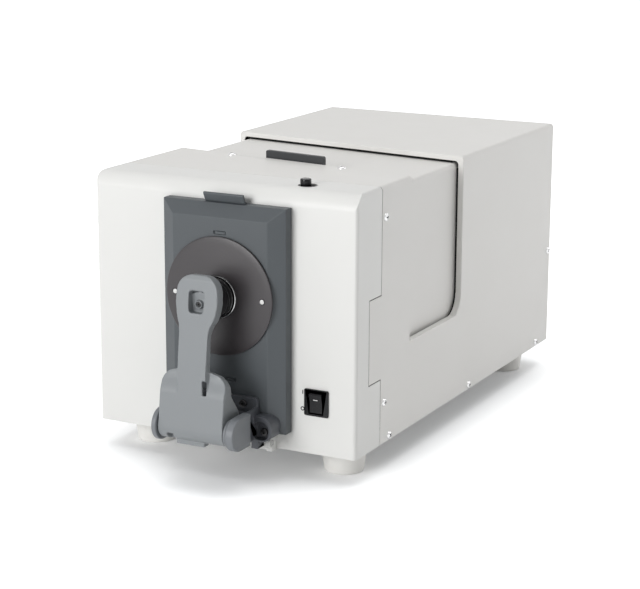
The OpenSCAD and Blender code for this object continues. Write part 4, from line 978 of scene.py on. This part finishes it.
SKIN_X = 135.1
LOW_Z = 31.4
covers = []
for side in (1, -1):
    for y in (69.6, 256.3, 443.0):
        covers.append((at(side * SKIN_X, y, LOW_Z), (side, 0, 0), 20 * y))
    for z in (66.0, 238.5):
        covers.append((at(side * SKIN_X, 57.7, z), (side, 0, 0), 4))
    covers.append((at(side * SKIN_X, 471.7, 128.5), (side, 0, 0), 33))
for x, y in ((-67.5, 135.4), (61.0, 117.4)):
    covers.append((at(x, y, TOP_Z - 0.3), (0, 0, 1), 25))
screws("cover_screw_heads", "cross", covers, 1.12, "body", "screw_steel", "cover_screws")
# Black crosses in the screws' recesses: painted shade.
screws("cover_screw_recesses", "dark", covers, 1.12, "body", "inner_black")
back = [(at(x, 474.8, LOW_Z), (0, 1, 0), 15) for x in (-104, 104)]
screws("rear_screw_heads", "cross", back, 1.05, "body", "screw_steel", "rear_screws")
screws("rear_screw_recesses", "dark", back, 1.05, "body", "inner_black")
mount_screws = [(at(AXIS_X + x, -23.5, 72.5), (0, -1, 0), 12) for x in (-26, 26)]
mount_screws += [(at(AXIS_X + x, -25.5, 49.5), (0, -1, 0), 40) for x in (-49, 49)]
screws("bracket_screw_heads", "socket", mount_screws, 1.05, "door", "black_screw", "bracket_screws")


# Stage, lights and camera


def seen_plainly(tree):
    """1 where the backdrop is seen, straight on or in metal or glass, and 0 where it lights the object."""
    path = tree.nodes.new("ShaderNodeLightPath")
    straight = maths(tree, "MAXIMUM", path.outputs["Is Camera Ray"], path.outputs["Is Glossy Ray"])
    return maths(tree, "MAXIMUM", straight, path.outputs["Is Transmission Ray"])


floor_mesh = bpy.data.meshes.new("floor")
floor_mesh.from_pydata([(-30, -30, 0), (30, -30, 0), (30, 30, 0), (-30, 30, 0)], [], [(0, 1, 2, 3)])
floor = linked("floor", floor_mesh)
paper = bpy.data.materials.new("paper")
paper.use_nodes = True
tree = paper.node_tree
tree.nodes.clear()
out = tree.nodes.new("ShaderNodeOutputMaterial")
lit = tree.nodes.new("ShaderNodeBsdfDiffuse")
lit.inputs["Color"].default_value = (0.93, 0.93, 0.93, 1)
glow = tree.nodes.new("ShaderNodeEmission")
glow.inputs["Color"].default_value = (0.965, 0.985, 1.0, 1)
reach = tree.nodes.new("ShaderNodeVectorMath")
reach.operation = "LENGTH"
tree.links.new(own_place(tree), reach.inputs[0])
away = spread(tree, reach.outputs["Value"], 0.78, 1.0, 0.4, 1.3)
# The floor's glow falls off near the object by ambient occlusion: a painted contact shadow.
contact_occlusion = tree.nodes.new("ShaderNodeAmbientOcclusion")
contact_occlusion.inputs["Distance"].default_value = 0.11
contact_occlusion.samples = 6
clear = spread(tree, contact_occlusion.outputs["AO"], 0.12, 1.0, 0.35, 0.92)
strength = maths(tree, "MULTIPLY", seen_plainly(tree), maths(tree, "MULTIPLY", away, clear))
tree.links.new(strength, glow.inputs["Strength"])
both = tree.nodes.new("ShaderNodeAddShader")
tree.links.new(lit.outputs[0], both.inputs[0])
tree.links.new(glow.outputs[0], both.inputs[1])
tree.links.new(both.outputs[0], out.inputs["Surface"])
floor_mesh.materials.append(paper)

world = bpy.data.worlds.new("studio")
bpy.context.scene.world = world
world.use_nodes = True
sky = world.node_tree
sky.nodes.clear()
out = sky.nodes.new("ShaderNodeOutputWorld")
back_light = sky.nodes.new("ShaderNodeBackground")
back_light.inputs["Color"].default_value = (1, 1, 1, 1)
side_on = sky.nodes.new("ShaderNodeVectorMath")
side_on.operation = "DOT_PRODUCT"
sky.links.new(sky.nodes.new("ShaderNodeTexCoord").outputs["Generated"], side_on.inputs[0])
side_on.inputs[1].default_value = Vector((0.62, -0.74, 0.25)).normalized()
room = spread(sky, side_on.outputs["Value"], 0.62, 0.12, -1.0, 1.0)
sky.links.new(maths(sky, "MAXIMUM", room, seen_plainly(sky)), back_light.inputs["Strength"])
sky.links.new(back_light.outputs[0], out.inputs["Surface"])


def softbox(name, place, target, size, power):
    """A square area lamp that looks at a target."""
    lamp = bpy.data.lights.new(name, "AREA")
    lamp.shape = "SQUARE"
    lamp.size = size
    lamp.energy = power
    obj = linked(name, lamp)
    obj.location = place
    obj.rotation_mode = "QUATERNION"
    obj.rotation_quaternion = (Vector(target) - Vector(place)).to_track_quat("-Z", "Y")
    obj.visible_camera = False


softbox("key", (-0.75, -3.3, 1.1), (0, 0, 0.12), 1.5, 64)
softbox("overhead", (0.3, 0.2, 3.2), (0, 0, 0.1), 2.2, 30)
softbox("fill", (1.15, 1.0, 0.6), (0.1, 0.1, 0.1), 0.8, 3.6)

EYE = Vector((0.84693, -1.648485, 0.572746))
AZIMUTH, ELEVATION, ROLL = 0.4764, 0.2390, 0.0042  # in radians
FOCUS_PIXELS, PHOTO_WIDTH_PIXELS, SENSOR_WIDTH = 1902.06, 640, 36.0
lens = bpy.data.cameras.new("camera")
lens.sensor_width = SENSOR_WIDTH
lens.lens = FOCUS_PIXELS / PHOTO_WIDTH_PIXELS * SENSOR_WIDTH
camera = linked("camera", lens)
ahead = Vector(
    (-math.sin(AZIMUTH) * math.cos(ELEVATION), math.cos(AZIMUTH) * math.cos(ELEVATION), -math.sin(ELEVATION))
)
right = ahead.cross(Vector((0, 0, 1))).normalized()
above = right.cross(ahead)
right, above = (
    right * math.cos(ROLL) + above * math.sin(ROLL),
    above * math.cos(ROLL) - right * math.sin(ROLL),
)
camera.matrix_world = Matrix.Translation(EYE) @ Matrix((right, above, -ahead)).transposed().to_4x4()
bpy.context.scene.camera = camera
bpy.context.scene.view_settings.view_transform = "Standard"
